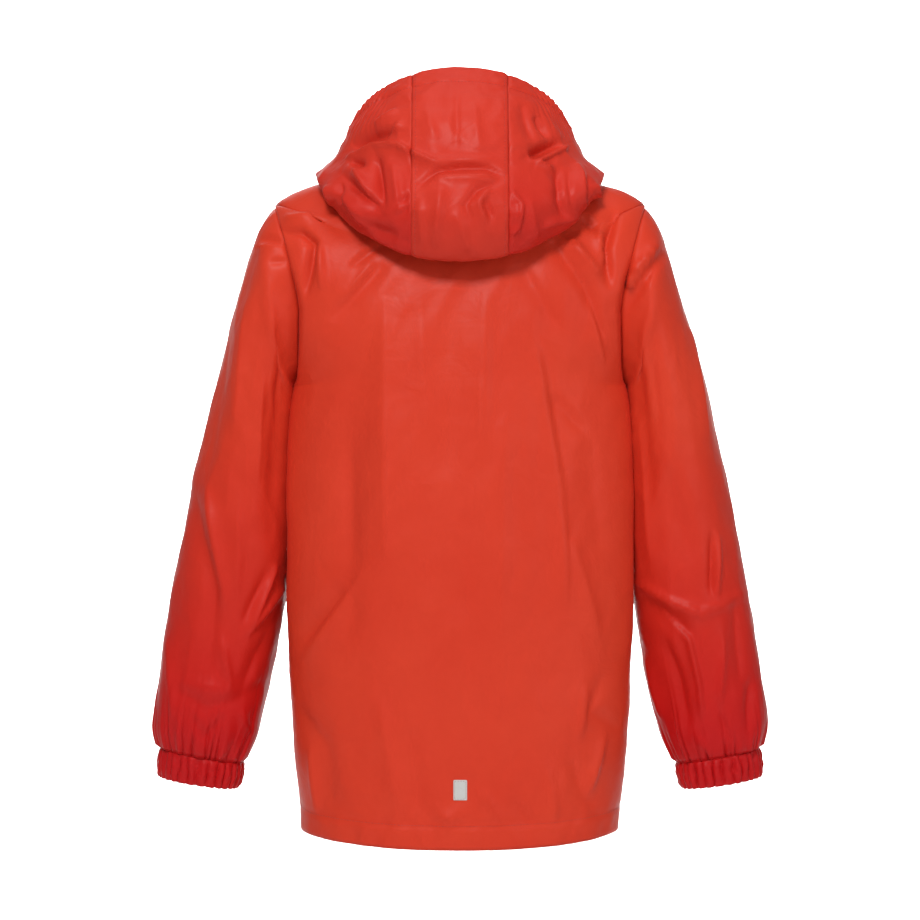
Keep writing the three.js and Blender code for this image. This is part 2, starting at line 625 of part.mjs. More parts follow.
// Hood panels
const rimCasing = (i, j) => (hoodStations[j] >= hoodLoops.length - 1 ? casingExtra : 0);
addMesh("hood_centre", clothWall(foldedCentre, normalOf, { extra: rimCasing }), hoodCloth);
sides.forEach(({ name }, k) => {
  addMesh(`hood_side_${name}`, clothWall(foldedHoodSides[k], normalOf, { extra: rimCasing }), hoodCloth);
});

// Reflective patch, made from the back panel's own surface and moved out
function backDepthAt(x, z) {
  const { rows } = foldedBack;
  for (let j = 2; j < lowerRows.length; j++) {
    for (let i = 0; i < rows[j].length - 1; i++) {
      const [a, b, c, d] = [rows[j][i], rows[j][i + 1], rows[j + 1][i], rows[j + 1][i + 1]];
      const along = (x - a.x) / (b.x - a.x);
      const up = (z - mix(a.z, b.z, along)) / (mix(c.z, d.z, along) - mix(a.z, b.z, along));
      const inside = along >= 0 && along <= 1 && up >= 0 && up <= 1;
      if (inside) return mix(mix(a.y, b.y, along), mix(c.y, d.y, along), up);
    }
  }
  throw new Error("the patch lies off the back");
}
const patchSheet = makeSheet(
  makeRows(3, 3, (i, j) => {
    const x = patch.x + (1 - i) * (patch.width / 2);
    const z = patch.z + (j - 1) * (patch.height / 2);
    return new THREE.Vector3(x, backDepthAt(x, z) + clothThickness / 2 + patch.lift + patch.thickness / 2, z);
  }),
);
const patchWall = clothWall(patchSheet, () => new THREE.Vector3(0, 1, 0), { thickness: patch.thickness });
addMesh("reflective_patch", patchWall, reflectivePatch);

// Zip tapes: strips just inside the front edge, from the hem to the hood's chin
const bodyFrontEdge = frontRows.map((row) => bodyPoint(row, -1, 0, 1));
const frontSeamColumn = backHalfColumns + frontColumns;
const hoodFrontEdge = hoodStations.slice(1).map((station) => hoodPoint(frontSeamColumn, station, 1));
const frontEdge = [...bodyFrontEdge, ...hoodFrontEdge.filter((p) => p.z > neck.frontZ)];
const edgeDepth = column(frontEdge.map(({ y, z }) => ({ y, z })), "z", "y");
const tapeHeights = [zip.footZ];
for (const { z } of frontEdge) {
  if (z > tapeHeights.at(-1) + zip.stepHeight && z < zip.topZ - zip.stepHeight) tapeHeights.push(z);
}
tapeHeights.push(zip.topZ);
sides.forEach(({ name, side }) => {
  const sheet = makeSheet(
    makeRows(tapeHeights.length, 2, (i, j) => {
      const z = tapeHeights[j];
      const inner = mix(zip.innerEdge, zip.spreadEdge, smooth((z - slider.z + slider.length) / slider.length));
      const outwards = side > 0 ? i : 1 - i;
      const y = edgeDepth(z) + zip.setBack + outwards * zip.outerSetBack;
      return new THREE.Vector3(side * mix(inner, zip.tapeWidth, outwards), y, z);
    }),
  );
  const tape = clothWall(sheet, normalTable([sheet]), { thickness: zip.tapeThickness });
  addMesh(`zip_tape_${name}`, tape, zipTapeWeave);
});

// Slider and pull, made from blocks joined or cut as solids
function solid(geometry, x, y, z) {
  const plainGeometry = geometry.clone();
  plainGeometry.deleteAttribute("normal");
  plainGeometry.deleteAttribute("uv");
  plainGeometry.translate(x, y, z);
  const merged = mergeVertices(plainGeometry);
  return new wasm.Manifold(
    new wasm.Mesh({
      numProp: 3,
      vertProperties: Float32Array.from(merged.attributes.position.array),
      triVerts: Uint32Array.from(merged.index.array),
    }),
  );
}
function geometryOf(made) {
  const mesh = made.getMesh();
  const geometry = new THREE.BufferGeometry();
  geometry.setAttribute("position", new THREE.Float32BufferAttribute(mesh.vertProperties, 3));
  geometry.setIndex(Array.from(mesh.triVerts));
  return geometry;
}
const block = (x, y, z) => new THREE.BoxGeometry(x, y, z);
const zipY = edgeDepth(slider.z) + zip.setBack;
const frontPlateY = zipY - slider.halfOpening - slider.plate / 2;
const crownFootY = frontPlateY - slider.plate / 2;

function roundedPlate(width, length, thickness, radius) {
  const shape = new THREE.Shape();
  const w = width / 2;
  const l = length / 2;
  shape.moveTo(-w + radius, -l);
  shape.lineTo(w - radius, -l);
  shape.absarc(w - radius, -l + radius, radius, -Math.PI / 2, 0, false);
  shape.lineTo(w, l - radius);
  shape.absarc(w - radius, l - radius, radius, 0, Math.PI / 2, false);
  shape.lineTo(-w + radius, l);
  shape.absarc(-w + radius, l - radius, radius, Math.PI / 2, Math.PI, false);
  shape.lineTo(-w, -l + radius);
  shape.absarc(-w + radius, -l + radius, radius, Math.PI, 1.5 * Math.PI, false);
  const settings = { depth: thickness, bevelEnabled: false, curveSegments: 5 };
  const geometry = new THREE.ExtrudeGeometry(shape, settings);
  geometry.translate(0, 0, -thickness / 2);
  geometry.rotateX(Math.PI / 2);
  return geometry;
}
function sliderSolid() {
  const plate = roundedPlate(slider.width, slider.length, slider.plate, slider.corner);
  const front = solid(plate, 0, frontPlateY, slider.z);
  const back = solid(plate, 0, zipY + slider.halfOpening + slider.plate / 2, slider.z);
  const neckDepth = 2 * slider.halfOpening + slider.plate;
  const neckZ = slider.z + slider.length / 2 - sliderNeck.length / 2 - sliderNeck.inset;
  const neckBlock = solid(block(sliderNeck.width, neckDepth, sliderNeck.length), 0, zipY, neckZ);
  const archY = crownFootY - crown.height / 2 + crown.sink;
  const arch = solid(block(crown.width, crown.height, crown.length), 0, archY, slider.z);
  const hole = solid(
    block(crown.width + 2, crown.opening, crown.length - 2 * crown.leg),
    0,
    crownFootY - crown.opening / 2,
    slider.z,
  );
  return front.add(back).add(neckBlock).add(arch.subtract(hole));
}
addMesh("zip_slider", geometryOf(sliderSolid()), paintedMetal);

// The pull hangs from its bar, which turns under the crown.
const pullPivot = new THREE.Vector3(0, crownFootY - crown.opening / 2, slider.z);
function pullSolid() {
  const length = pull.length + pull.bar;
  const plate = roundedPlate(pull.width, length, pull.thickness, pull.tipRadius);
  const body = solid(plate, pullPivot.x, pullPivot.y, pullPivot.z + pull.bar / 2 - length / 2);
  const eye = solid(
    block(pull.eyeWidth, pull.thickness + 2, pull.eyeLength),
    pullPivot.x,
    pullPivot.y,
    pullPivot.z - pull.bar / 2 - pull.eyeLength / 2,
  );
  return body.subtract(eye);
}
addMesh("zip_pull", geometryOf(pullSolid()), paintedMetal);

export default jacket;
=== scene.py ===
from math import acos, atan2, cos, exp, floor, pi, radians, sin
from random import Random

import bmesh
import bpy
from mathutils import Euler, Matrix, Vector, noise


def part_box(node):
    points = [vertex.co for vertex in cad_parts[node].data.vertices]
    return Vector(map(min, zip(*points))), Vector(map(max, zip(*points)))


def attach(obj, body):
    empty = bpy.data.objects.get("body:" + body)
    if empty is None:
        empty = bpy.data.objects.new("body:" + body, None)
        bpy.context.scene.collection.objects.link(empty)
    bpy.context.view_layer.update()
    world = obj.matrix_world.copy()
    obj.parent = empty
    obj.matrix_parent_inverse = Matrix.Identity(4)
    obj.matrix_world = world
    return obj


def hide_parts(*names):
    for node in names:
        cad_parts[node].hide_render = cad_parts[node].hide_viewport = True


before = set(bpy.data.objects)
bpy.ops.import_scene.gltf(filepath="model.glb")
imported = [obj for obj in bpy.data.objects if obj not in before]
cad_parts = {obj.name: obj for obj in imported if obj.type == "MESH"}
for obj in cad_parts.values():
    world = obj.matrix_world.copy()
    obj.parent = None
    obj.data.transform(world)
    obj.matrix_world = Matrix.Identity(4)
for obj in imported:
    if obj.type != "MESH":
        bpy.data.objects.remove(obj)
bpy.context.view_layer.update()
print("frame loaded:", len(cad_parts), "nodes")


# Small tools
def clamp01(a):
    return min(1.0, max(0.0, a))


def smooth(a):
    a = clamp01(a)
    return a * a * (3 - 2 * a)


def mix(a, b, share):
    return a + (b - a) * share


def bump(x, y, z, size):  # soft noise from -1 to 1, with lumps of about this size in mm
    return noise.noise(Vector((x, y, z)) / size)


def column(rows, value):  # a smooth value from a table, at any place along its first column
    keys = [row[0] for row in rows]
    values = [row[value] for row in rows]

    def slope(i):
        low = max(0, i - 1)
        high = min(len(rows) - 1, i + 1)
        return (values[high] - values[low]) / (keys[high] - keys[low])

    def read(at):
        if at <= keys[0]:
            return values[0]
        if at >= keys[-1]:
            return values[-1]
        i = next(k for k, edge in enumerate(keys) if edge > at) - 1
        span = keys[i + 1] - keys[i]
        s = (at - keys[i]) / span
        return (
            (2 * s**3 - 3 * s**2 + 1) * values[i]
            + (s**3 - 2 * s**2 + s) * span * slope(i)
            + (3 * s**2 - 2 * s**3) * values[i + 1]
            + (s**3 - s**2) * span * slope(i + 1)
        )

    return read


def alongCurve(points, at):  # a place on a smooth curve through points, at counts them
    last = len(points) - 1
    k = min(last - 1, max(0, floor(at)))
    before = points[k - 1] if k > 0 else points[0] * 2 - points[1]
    after = points[k + 2] if k + 2 <= last else points[last] * 2 - points[last - 1]
    start, end = points[k], points[k + 1]
    gaps = [max(1e-4, (b - a).length ** 0.5) for a, b in ((before, start), (start, end), (end, after))]
    leave = (start - before) / gaps[0] - (end - before) / (gaps[0] + gaps[1]) + (end - start) / gaps[1]
    arrive = (end - start) / gaps[1] - (after - start) / (gaps[1] + gaps[2]) + (after - end) / gaps[2]
    leave, arrive = leave * gaps[1], arrive * gaps[1]
    s = at - k
    return (
        start
        + leave * s
        + (start * -3 + end * 3 - leave * 2 - arrive) * s**2
        + (start * 2 - end * 2 + leave + arrive) * s**3
    )


# A crease is its half width, height and lean, and then the places it runs through. Its height is above 0
# for a ridge and below 0 for a trough, and lean makes one flank steeper than the other.
def creaseField(creases):
    fields = []
    for width, height, lean, *points in creases:
        far = 3.4 * width
        low = [min(p[k] for p in points) - far for k in (0, 1)]
        high = [max(p[k] for p in points) + far for k in (0, 1)]
        legs = []
        whole = 0.0
        for (a1, b1), (a2, b2) in zip(points, points[1:]):
            length = ((a2 - a1) ** 2 + (b2 - b1) ** 2) ** 0.5
            legs.append((a1, b1, a2 - a1, b2 - b1, length, whole))
            whole += length
        fields.append((low, high, width, height, lean, legs, whole))

    def heightAt(a, b):
        total = 0.0
        for low, high, width, height, lean, legs, whole in fields:
            if not (low[0] < a < high[0] and low[1] < b < high[1]):
                continue
            nearest = None
            for a1, b1, da, db, length, start in legs:
                along = clamp01(((a - a1) * da + (b - b1) * db) / (length * length))
                offA, offB = a - a1 - along * da, b - b1 - along * db
                off = offA * offA + offB * offB
                if nearest is None or off < nearest[0]:
                    nearest = (off, da * offB - db * offA, start + along * length)
            off, turn, place = nearest
            reach = width * (1 + lean if turn > 0 else 1 - lean)
            off /= reach * reach
            if off < 9:
                ends = 0.25 + 0.75 * max(0.0, sin(pi * place / whole)) ** 0.6
                if height > 0:  # a ridge has a crisp top, and a trough is rounder
                    section = 1.25 * exp(-1.8 * off**0.6)
                else:
                    section = exp(-1.2 * off**0.85)
                total += height * ends * section
        return total

    return heightAt


def fromSeam(mm, width=3.2):  # 0 on a seam, so that neighbours meet there, and 1 well away from it
    return 1 - exp(-((mm / width) ** 2))


def crumple(x, y, z, size):  # small sharp-edged folds, from about -0.6 to 0.4
    return 0.4 - 2.2 * abs(bump(x, y, z, size))


# Materials
def linear(code):  # an sRGB hex value as linear colour
    parts = [int(code[i : i + 2], 16) / 255 for i in (1, 3, 5)]
    return [v / 12.92 if v <= 0.04045 else ((v + 0.055) / 1.055) ** 2.4 for v in parts] + [1.0]


def addNode(tree, kind, links=(), **settings):  # links are (input, output socket)
    node = tree.nodes.new(kind)
    for name, value in settings.items():
        if name in node.bl_rna.properties and name not in node.inputs:
            setattr(node, name, value)
        else:
            node.inputs[name.replace("_", " ")].default_value = value
    for target, source in links:
        tree.links.new(source, node.inputs[target])
    return node


def newMaterial(name, **shader):
    made = bpy.data.materials.new(name)
    made.use_nodes = True
    tree = made.node_tree
    surface = tree.nodes["Principled BSDF"]
    for key, value in shader.items():
        surface.inputs[key.replace("_", " ")].default_value = value
    place = addNode(tree, "ShaderNodeTexCoord").outputs
    return made, tree, surface.inputs, place


def paint(tree, inputs, factor, low, high):  # the base colour runs from one hex value to another
    hue = addNode(tree, "ShaderNodeMix", [("Factor", factor)], data_type="RGBA")
    hue.inputs["A"].default_value = linear(low)
    hue.inputs["B"].default_value = linear(high)
    tree.links.new(hue.outputs["Result"], inputs["Base Color"])
    return hue.outputs["Result"]


def emboss(tree, inputs, height, strength, distance, *under):  # a fine relief, with distance in mm
    links = [("Height", height), *under]
    rise = addNode(tree, "ShaderNodeBump", links, Strength=strength, Distance=distance / 1000)
    tree.links.new(rise.outputs["Normal"], inputs["Normal"])
    return rise.outputs["Normal"]


def mapped(tree, value, low, high):  # a value from 0 to 1 spread over another range
    span = addNode(tree, "ShaderNodeMapRange", [("Value", value)], To_Min=low, To_Max=high)
    return span.outputs["Result"]


# Coated plain weave: woven polyester, dyed and coated, so it has threads, soft crinkles and a broad sheen
clothLooks = {
    "threadSpacing": 6.9,  # the real 0.25 mm is too fine to show, so it is drawn coarser and faint
    "threadDepth": 0.05,
    "crinkleSize": 14,
    "crinkleDepth": 0.45,
    "roughness": 0.42,
    "sheen": 0.01,
    "gloss": 0.15,
}


wavePeriod = pi / 10  # the length of one wave at a scale of 1
noiseRange = 4  # noise keeps to about a quarter of its range

# Painted shade: the cloth is painted a deeper red towards the bottom of each place below, standing in for
# the shade that falls there. Heights are in mm.
# Each place has the height where it starts, where it is deepest, and its share there.
paintedShadeRed = {"colour": "#C11617", "sleeve": (-220, -500, 1.0), "hoodSide": (20, -55, 0.5)}


def coatedWeave(name, colour, shade, crinkle=1.0, paintedShadePlace=None):
    c = clothLooks
    made, tree, inputs, place = newMaterial(name, IOR=1.48, Sheen_Weight=c["sheen"], Sheen_Roughness=0.35)
    inputs["Specular IOR Level"].default_value = c["gloss"]
    everywhere = [("Vector", place["Object"])]
    tint = addNode(tree, "ShaderNodeTexNoise", everywhere, Scale=9.0, Detail=3.0, Roughness=0.55)
    single = paint(tree, inputs, tint.outputs["Fac"], shade, colour)
    # painted shade: a deeper red is mixed in by height, darker towards the bottom
    if paintedShadePlace:
        top, foot, most = paintedShadeRed[paintedShadePlace]
        height = addNode(tree, "ShaderNodeSeparateXYZ", everywhere).outputs["Z"]
        reach = {"From_Min": top / 1000, "From_Max": foot / 1000, "To_Max": most}
        share = addNode(tree, "ShaderNodeMapRange", [("Value", height)], **reach)
        hue = addNode(tree, "ShaderNodeMix", [("Factor", share.outputs["Result"])], data_type="RGBA")
        hue.inputs["B"].default_value = linear(paintedShadeRed["colour"])
        tree.links.new(single, hue.inputs["A"])
        tree.links.new(hue.outputs["Result"], inputs["Base Color"])
    gloss = addNode(tree, "ShaderNodeTexNoise", everywhere, Scale=60.0, Detail=2.0).outputs["Fac"]
    polish = mapped(tree, gloss, c["roughness"] - 0.04, c["roughness"] + 0.06)
    tree.links.new(polish, inputs["Roughness"])
    # warp and weft run along the piece's own map, which is in metres of cloth
    weave = addNode(tree, "ShaderNodeMath", operation="ADD")
    for k, direction in enumerate("XY"):
        threads = addNode(
            tree,
            "ShaderNodeTexWave",
            [("Vector", place["UV"])],
            bands_direction=direction,
            Scale=1000 / c["threadSpacing"] * wavePeriod,
            Distortion=0.4,
        )
        tree.links.new(threads.outputs["Fac"], weave.inputs[k])
    crinkles = addNode(
        tree,
        "ShaderNodeTexNoise",
        everywhere,
        Scale=1000 / (2 * c["crinkleSize"]),
        Detail=4.0,
        Roughness=0.5,
        Distortion=0.8,
    )
    coarse = emboss(tree, inputs, crinkles.outputs["Fac"], 0.5 * crinkle, c["crinkleDepth"] * noiseRange)
    emboss(tree, inputs, weave.outputs["Value"], 0.25, c["threadDepth"], ("Normal", coarse))
    return made


bodyCloth = coatedWeave("coated plain weave", "#DB432B", "#CD331F")
# painted shade: the sleeves are painted a deeper red towards the cuffs
sleeveClothWithPaintedShade = coatedWeave("coated plain weave of the sleeves with painted shade", "#DB432B", "#CD331F", paintedShadePlace="sleeve")
# painted shade: the hood is the same cloth as the body, painted a little darker, on its sides too
hoodClothWithPaintedShade = coatedWeave("coated plain weave of the hood", "#D63E2C", "#C32C1E", crinkle=1.15)
# painted shade: the hood's sides are painted a deeper red towards their lower edge
hoodSideClothWithPaintedShade = coatedWeave(
    "coated plain weave of the hood's sides with painted shade", "#D63E2C", "#C32C1E", crinkle=1.15, paintedShadePlace="hoodSide"
)
# painted shade: the cuffs are the same cloth, painted a darker, deeper red for the shade in their gathers
cuffClothWithPaintedShade = coatedWeave("coated plain weave of the cuffs with painted shade", "#C81A1C", "#B61316", crinkle=0.7)


# Spun polyester thread: twisted and dyed to match, so it is a little darker and duller than the cloth
def sewingThread():
    made, tree, inputs, place = newMaterial("spun polyester thread", Roughness=0.6, Sheen_Weight=0.2)
    twist = addNode(
        tree,
        "ShaderNodeTexWave",
        [("Vector", place["Object"])],
        bands_direction="DIAGONAL",
        Scale=180.0,
        Distortion=1.0,
    )
    paint(tree, inputs, twist.outputs["Fac"], "#8F1811", "#B0251A")
    return made


# Retroreflective tape: glass beads bonded to cloth, so it is light grey with a fine grain
def reflectiveTape():
    made, tree, inputs, place = newMaterial("retroreflective tape", Metallic=0.25, Roughness=0.42)
    beads = addNode(tree, "ShaderNodeTexVoronoi", [("Vector", place["Object"])], Scale=2200.0)
    paint(tree, inputs, beads.outputs["Distance"], "#E4E3E0", "#C2C1BE")
    emboss(tree, inputs, beads.outputs["Distance"], 0.2, 0.1)
    return made


# Woven zip tape: ribbed polyester ribbon, matt
def zipTapeWeave():
    made, tree, inputs, place = newMaterial("woven zip tape", Roughness=0.75, Sheen_Weight=0.3)
    ribs = addNode(
        tree,
        "ShaderNodeTexWave",
        [("Vector", place["UV"])],
        bands_direction="X",
        Scale=50.0,
        Distortion=0.6,
    )
    paint(tree, inputs, ribs.outputs["Fac"], "#A92A20", "#BD3729")
    emboss(tree, inputs, ribs.outputs["Fac"], 0.5, 0.2)
    return made


# Acetal coil: extruded and dyed, smooth with a soft gloss, worn paler where the slider rubs
def acetalCoil():
    made, tree, inputs, place = newMaterial("acetal zip coil", Roughness=0.38, IOR=1.48)
    rub = addNode(tree, "ShaderNodeTexNoise", [("Vector", place["Object"])], Scale=90.0, Detail=3.0)
    paint(tree, inputs, rub.outputs["Fac"], "#A6241C", "#C4402F")
    return made


# Painted die-cast zinc: sprayed after casting, so it is satin and a little uneven
def paintedZinc():
    made, tree, inputs, place = newMaterial("painted die-cast zinc", Coat_Weight=0.35, Coat_Roughness=0.25)
    cloud = addNode(tree, "ShaderNodeTexNoise", [("Vector", place["Object"])], Scale=240.0, Detail=4.0)
    paint(tree, inputs, cloud.outputs["Fac"], "#A92A20", "#BC3A2C")
    tree.links.new(mapped(tree, cloud.outputs["Fac"], 0.32, 0.5), inputs["Roughness"])
    emboss(tree, inputs, cloud.outputs["Fac"], 0.25, 0.08)
    return made


thread = sewingThread()
tape = reflectiveTape()
zipTape = zipTapeWeave()
coil = acetalCoil()
zinc = paintedZinc()
print("materials made")


bothSides = (("left", 1), ("right", -1))


def makeObject(name, bm, finish, smoothed=True):
    mesh = bpy.data.meshes.new(name)
    bm.to_mesh(mesh)
    bm.free()
    if smoothed:
        mesh.shade_smooth()
    mesh.materials.append(finish)
    piece = bpy.data.objects.new(name, mesh)
    bpy.context.scene.collection.objects.link(piece)
    print(name, "made,", len(mesh.polygons), "faces")
    return piece


# Cloth pieces. A grid is moved to its place on the garment, then its folds are raised along its normals.
# across and along run from 0 to 1 over the piece, and place and relief read them.
sewn = {}


def makeCloth(name, grid, place, relief, finish, thickness=1.0, closed=False, turned=False):
    columns, rows, size = grid["columns"], grid["rows"], grid["size"]
    bm = bmesh.new()
    weave = bm.loops.layers.uv.new("cloth")
    bmesh.ops.create_grid(bm, x_segments=columns, y_segments=rows, size=0.5)
    acrossLayer = bm.verts.layers.float.new("across")
    alongLayer = bm.verts.layers.float.new("along")
    for v in bm.verts:
        v[acrossLayer] = v.co.x + 0.5
        v[alongLayer] = v.co.y + 0.5
    for face in bm.faces:
        for loop in face.loops:
            u, w = loop.vert[acrossLayer], loop.vert[alongLayer]
            loop[weave].uv = (u * size[0] / 1000, w * size[1] / 1000)
    for v in bm.verts:
        v.co = Vector(place(v[acrossLayer], v[alongLayer])) / 1000
    if closed:
        bmesh.ops.remove_doubles(bm, verts=bm.verts, dist=1e-6)
    if turned:
        bmesh.ops.reverse_faces(bm, faces=bm.faces)
    bm.normal_update()
    raised = {}
    for v in bm.verts:
        u = v[acrossLayer] % 1.0 if closed else v[acrossLayer]
        raised[v] = v.normal * relief(u, v[alongLayer], v.co * 1000) / 1000
    for v, move in raised.items():
        v.co += move
    bm.normal_update()
    spots = {}
    for v in bm.verts:
        u = v[acrossLayer] % 1.0 if closed else v[acrossLayer]
        spots[round(u * columns), round(v[alongLayer] * rows)] = (v.co.copy(), v.normal.copy())
    sewn[name] = (spots, columns, rows, closed)
    piece = makeObject(name, bm, finish)
    wall = piece.modifiers.new("wall", "SOLIDIFY")
    wall.thickness = thickness / 1000
    wall.offset = 0
    return piece


def onCloth(name, across, along):  # the place and normal of a made piece at a share of its two ways
    spots, columns, rows, closed = sewn[name]
    u = (across % 1.0 if closed else clamp01(across)) * columns
    w = clamp01(along) * rows
    i, j = min(columns - 1, floor(u)), min(rows - 1, floor(w))
    right = (i + 1) % columns if closed else i + 1
    found = []
    for k in (0, 1):
        low = spots[i, j][k].lerp(spots[right, j][k], u - i)
        high = spots[i, j + 1][k].lerp(spots[right, j + 1][k], u - i)
        found.append(low.lerp(high, w - j))
    return found[0], found[1].normalized()


# Body: how far out the side seam lies, how far the back swells beyond it, how deep the panels' middles lie
# z, side, bulge, back, front
bodySections = [
    (-591, 141, 0, 92, -93),
    (-572, 142.5, 0, 92, -93),
    (-549, 145, 0, 92, -93),
    (-513, 148, 0, 92, -93),
    (-468, 151, 0, 92, -92.5),
    (-423, 152, 1, 92, -92),
    (-378, 149.5, 6.5, 92, -91.5),
    (-333, 147, 9, 92, -91),
    (-288, 146.5, 10, 91.7, -90),
    (-243, 145.5, 10, 90.8, -88.5),
    (-205, 145, 8, 89.4, -86.8),
    (-170, 144, 2.5, 87.4, -84.8),
    (-130, 142, 0, 84, -81.5),
    (-90, 142, 0, 78.5, -75),
    (-62, 142, 0, 71, -66),
    (-50, 142, 0, 66, -62),
    (-38, 142, 0, 59, -58),
    (-16, 142, 0, 40, -52),
]
bodySide, bodyBulge, bodyBack, bodyFront = (column(bodySections, value) for value in (1, 2, 3, 4))
bodyShape = {
    "roundness": 0.87,
    "hemSideZ": -582,
    "hemBackZ": -591,
    "hemFrontZ": -584,
    "hemDip": 120,
    "zipHalfOpening": 7,
    "upperBackZ": -62,
    "upperFrontZ": -85,
    "sideLength": 397,
    "armholeLength": 224,
    "shoulderLength": 101,
    "crest": 7,
    "crestSkew": 0.6,
    "valley": 13,
    "valleyWidth": 6,
}
bodyLength = bodyShape["sideLength"] + bodyShape["armholeLength"] + bodyShape["shoulderLength"]
armhole = {
    "bottomX": 144.5,
    "bottomZ": -185,
    "waistX": 142,
    "waistZ": -120,
    "topX": 165,
    "topZ": -25,
    "flare": 1.3,
    "middleY": -2,
    "halfDepth": 62,
}
neck = {"x": 66, "y": -2, "z": 8, "backZ": -16, "frontZ": -50}


def armholePoint(turn):
    a = armhole
    z = (a["topZ"] + a["bottomZ"]) / 2 - (a["topZ"] - a["bottomZ"]) / 2 * cos(turn)
    above = clamp01((z - a["waistZ"]) / (a["topZ"] - a["waistZ"]))
    below = clamp01((a["waistZ"] - z) / (a["waistZ"] - a["bottomZ"]))
    flare = (a["topX"] - a["waistX"]) * above ** a["flare"]
    x = a["waistX"] + flare + (a["bottomX"] - a["waistX"]) * below
    return Vector((x, a["middleY"] + a["halfDepth"] * sin(turn), z))


# The cloth folds in along the lower back of each armhole, so panel and sleeve move in together.
def armpitValley(turn, fromArmhole, width):
    z = armholePoint(turn).z
    depth = bodyShape["valley"] * smooth((-62 - z) / 60) * smooth(sin(turn) / 0.5)
    return depth * exp(-((fromArmhole / width) ** 2))


rowsMade = {}


def bodyRow(facing, along):  # the row's edge and the height of its middle
    key = (facing, round(along, 6))
    if key in rowsMade:
        return rowsMade[key]
    b = bodyShape
    back = facing > 0
    upperZ = b["upperBackZ"] if back else b["upperFrontZ"]
    distance = along * bodyLength
    if distance <= b["sideLength"]:
        z = b["hemSideZ"] + distance
        dip = (b["hemBackZ"] if back else b["hemFrontZ"]) - b["hemSideZ"]
        row = (Vector((bodySide(z), armhole["middleY"], z)), z + dip * clamp01(1 - distance / b["hemDip"]))
    elif distance <= b["sideLength"] + b["armholeLength"]:
        share = (distance - b["sideLength"]) / b["armholeLength"]
        row = (armholePoint(facing * pi * share), mix(armhole["bottomZ"], upperZ, share))
    else:
        share = clamp01((distance - b["sideLength"] - b["armholeLength"]) / b["shoulderLength"])
        tip = armholePoint(pi)
        edge = tip.lerp(Vector((neck["x"], neck["y"], neck["z"])), share)
        edge.z += b["crest"] * sin(pi * share ** b["crestSkew"])
        row = (edge, mix(upperZ, neck["backZ"] if back else neck["frontZ"], share))
    rowsMade[key] = row
    return row


def bodyPoint(along, facing, share, side):
    edge, middleZ = bodyRow(facing, along)
    inner = 0 if facing > 0 else bodyShape["zipHalfOpening"]
    middleY = bodyBack(middleZ) if facing > 0 else bodyFront(middleZ)
    depth = max(0.0, (edge.y - armhole["middleY"]) / (middleY - armhole["middleY"]))
    end = acos(min(1.0, depth ** (1 / bodyShape["roundness"])))
    turn = share * end
    reach = (sin(turn) / sin(end)) ** bodyShape["roundness"] if share > 0 else 0.0
    bulge = bodyBulge(edge.z) * sin(pi * share**4) if facing > 0 else 0
    return Vector(
        (
            side * (mix(inner, edge.x, reach) + bulge),
            mix(armhole["middleY"], middleY, max(0.0, cos(turn)) ** bodyShape["roundness"]),
            mix(middleZ, edge.z, sin(share * pi / 2) ** 2),
        )
    )


def stitchDip(mm, depth, width=1.3):  # cloth is drawn down by a line of stitches
    return -depth * exp(-((mm / width) ** 2))


# Reflective patch on the lower back; the cloth lies flat under it
patch = {
    "x": -0.2,
    "z": -538.5,
    "clothRise": 0.3,
    "width": 11.9,
    "height": 17.6,
    "thickness": 0.5,
    "stitches": 8,
}

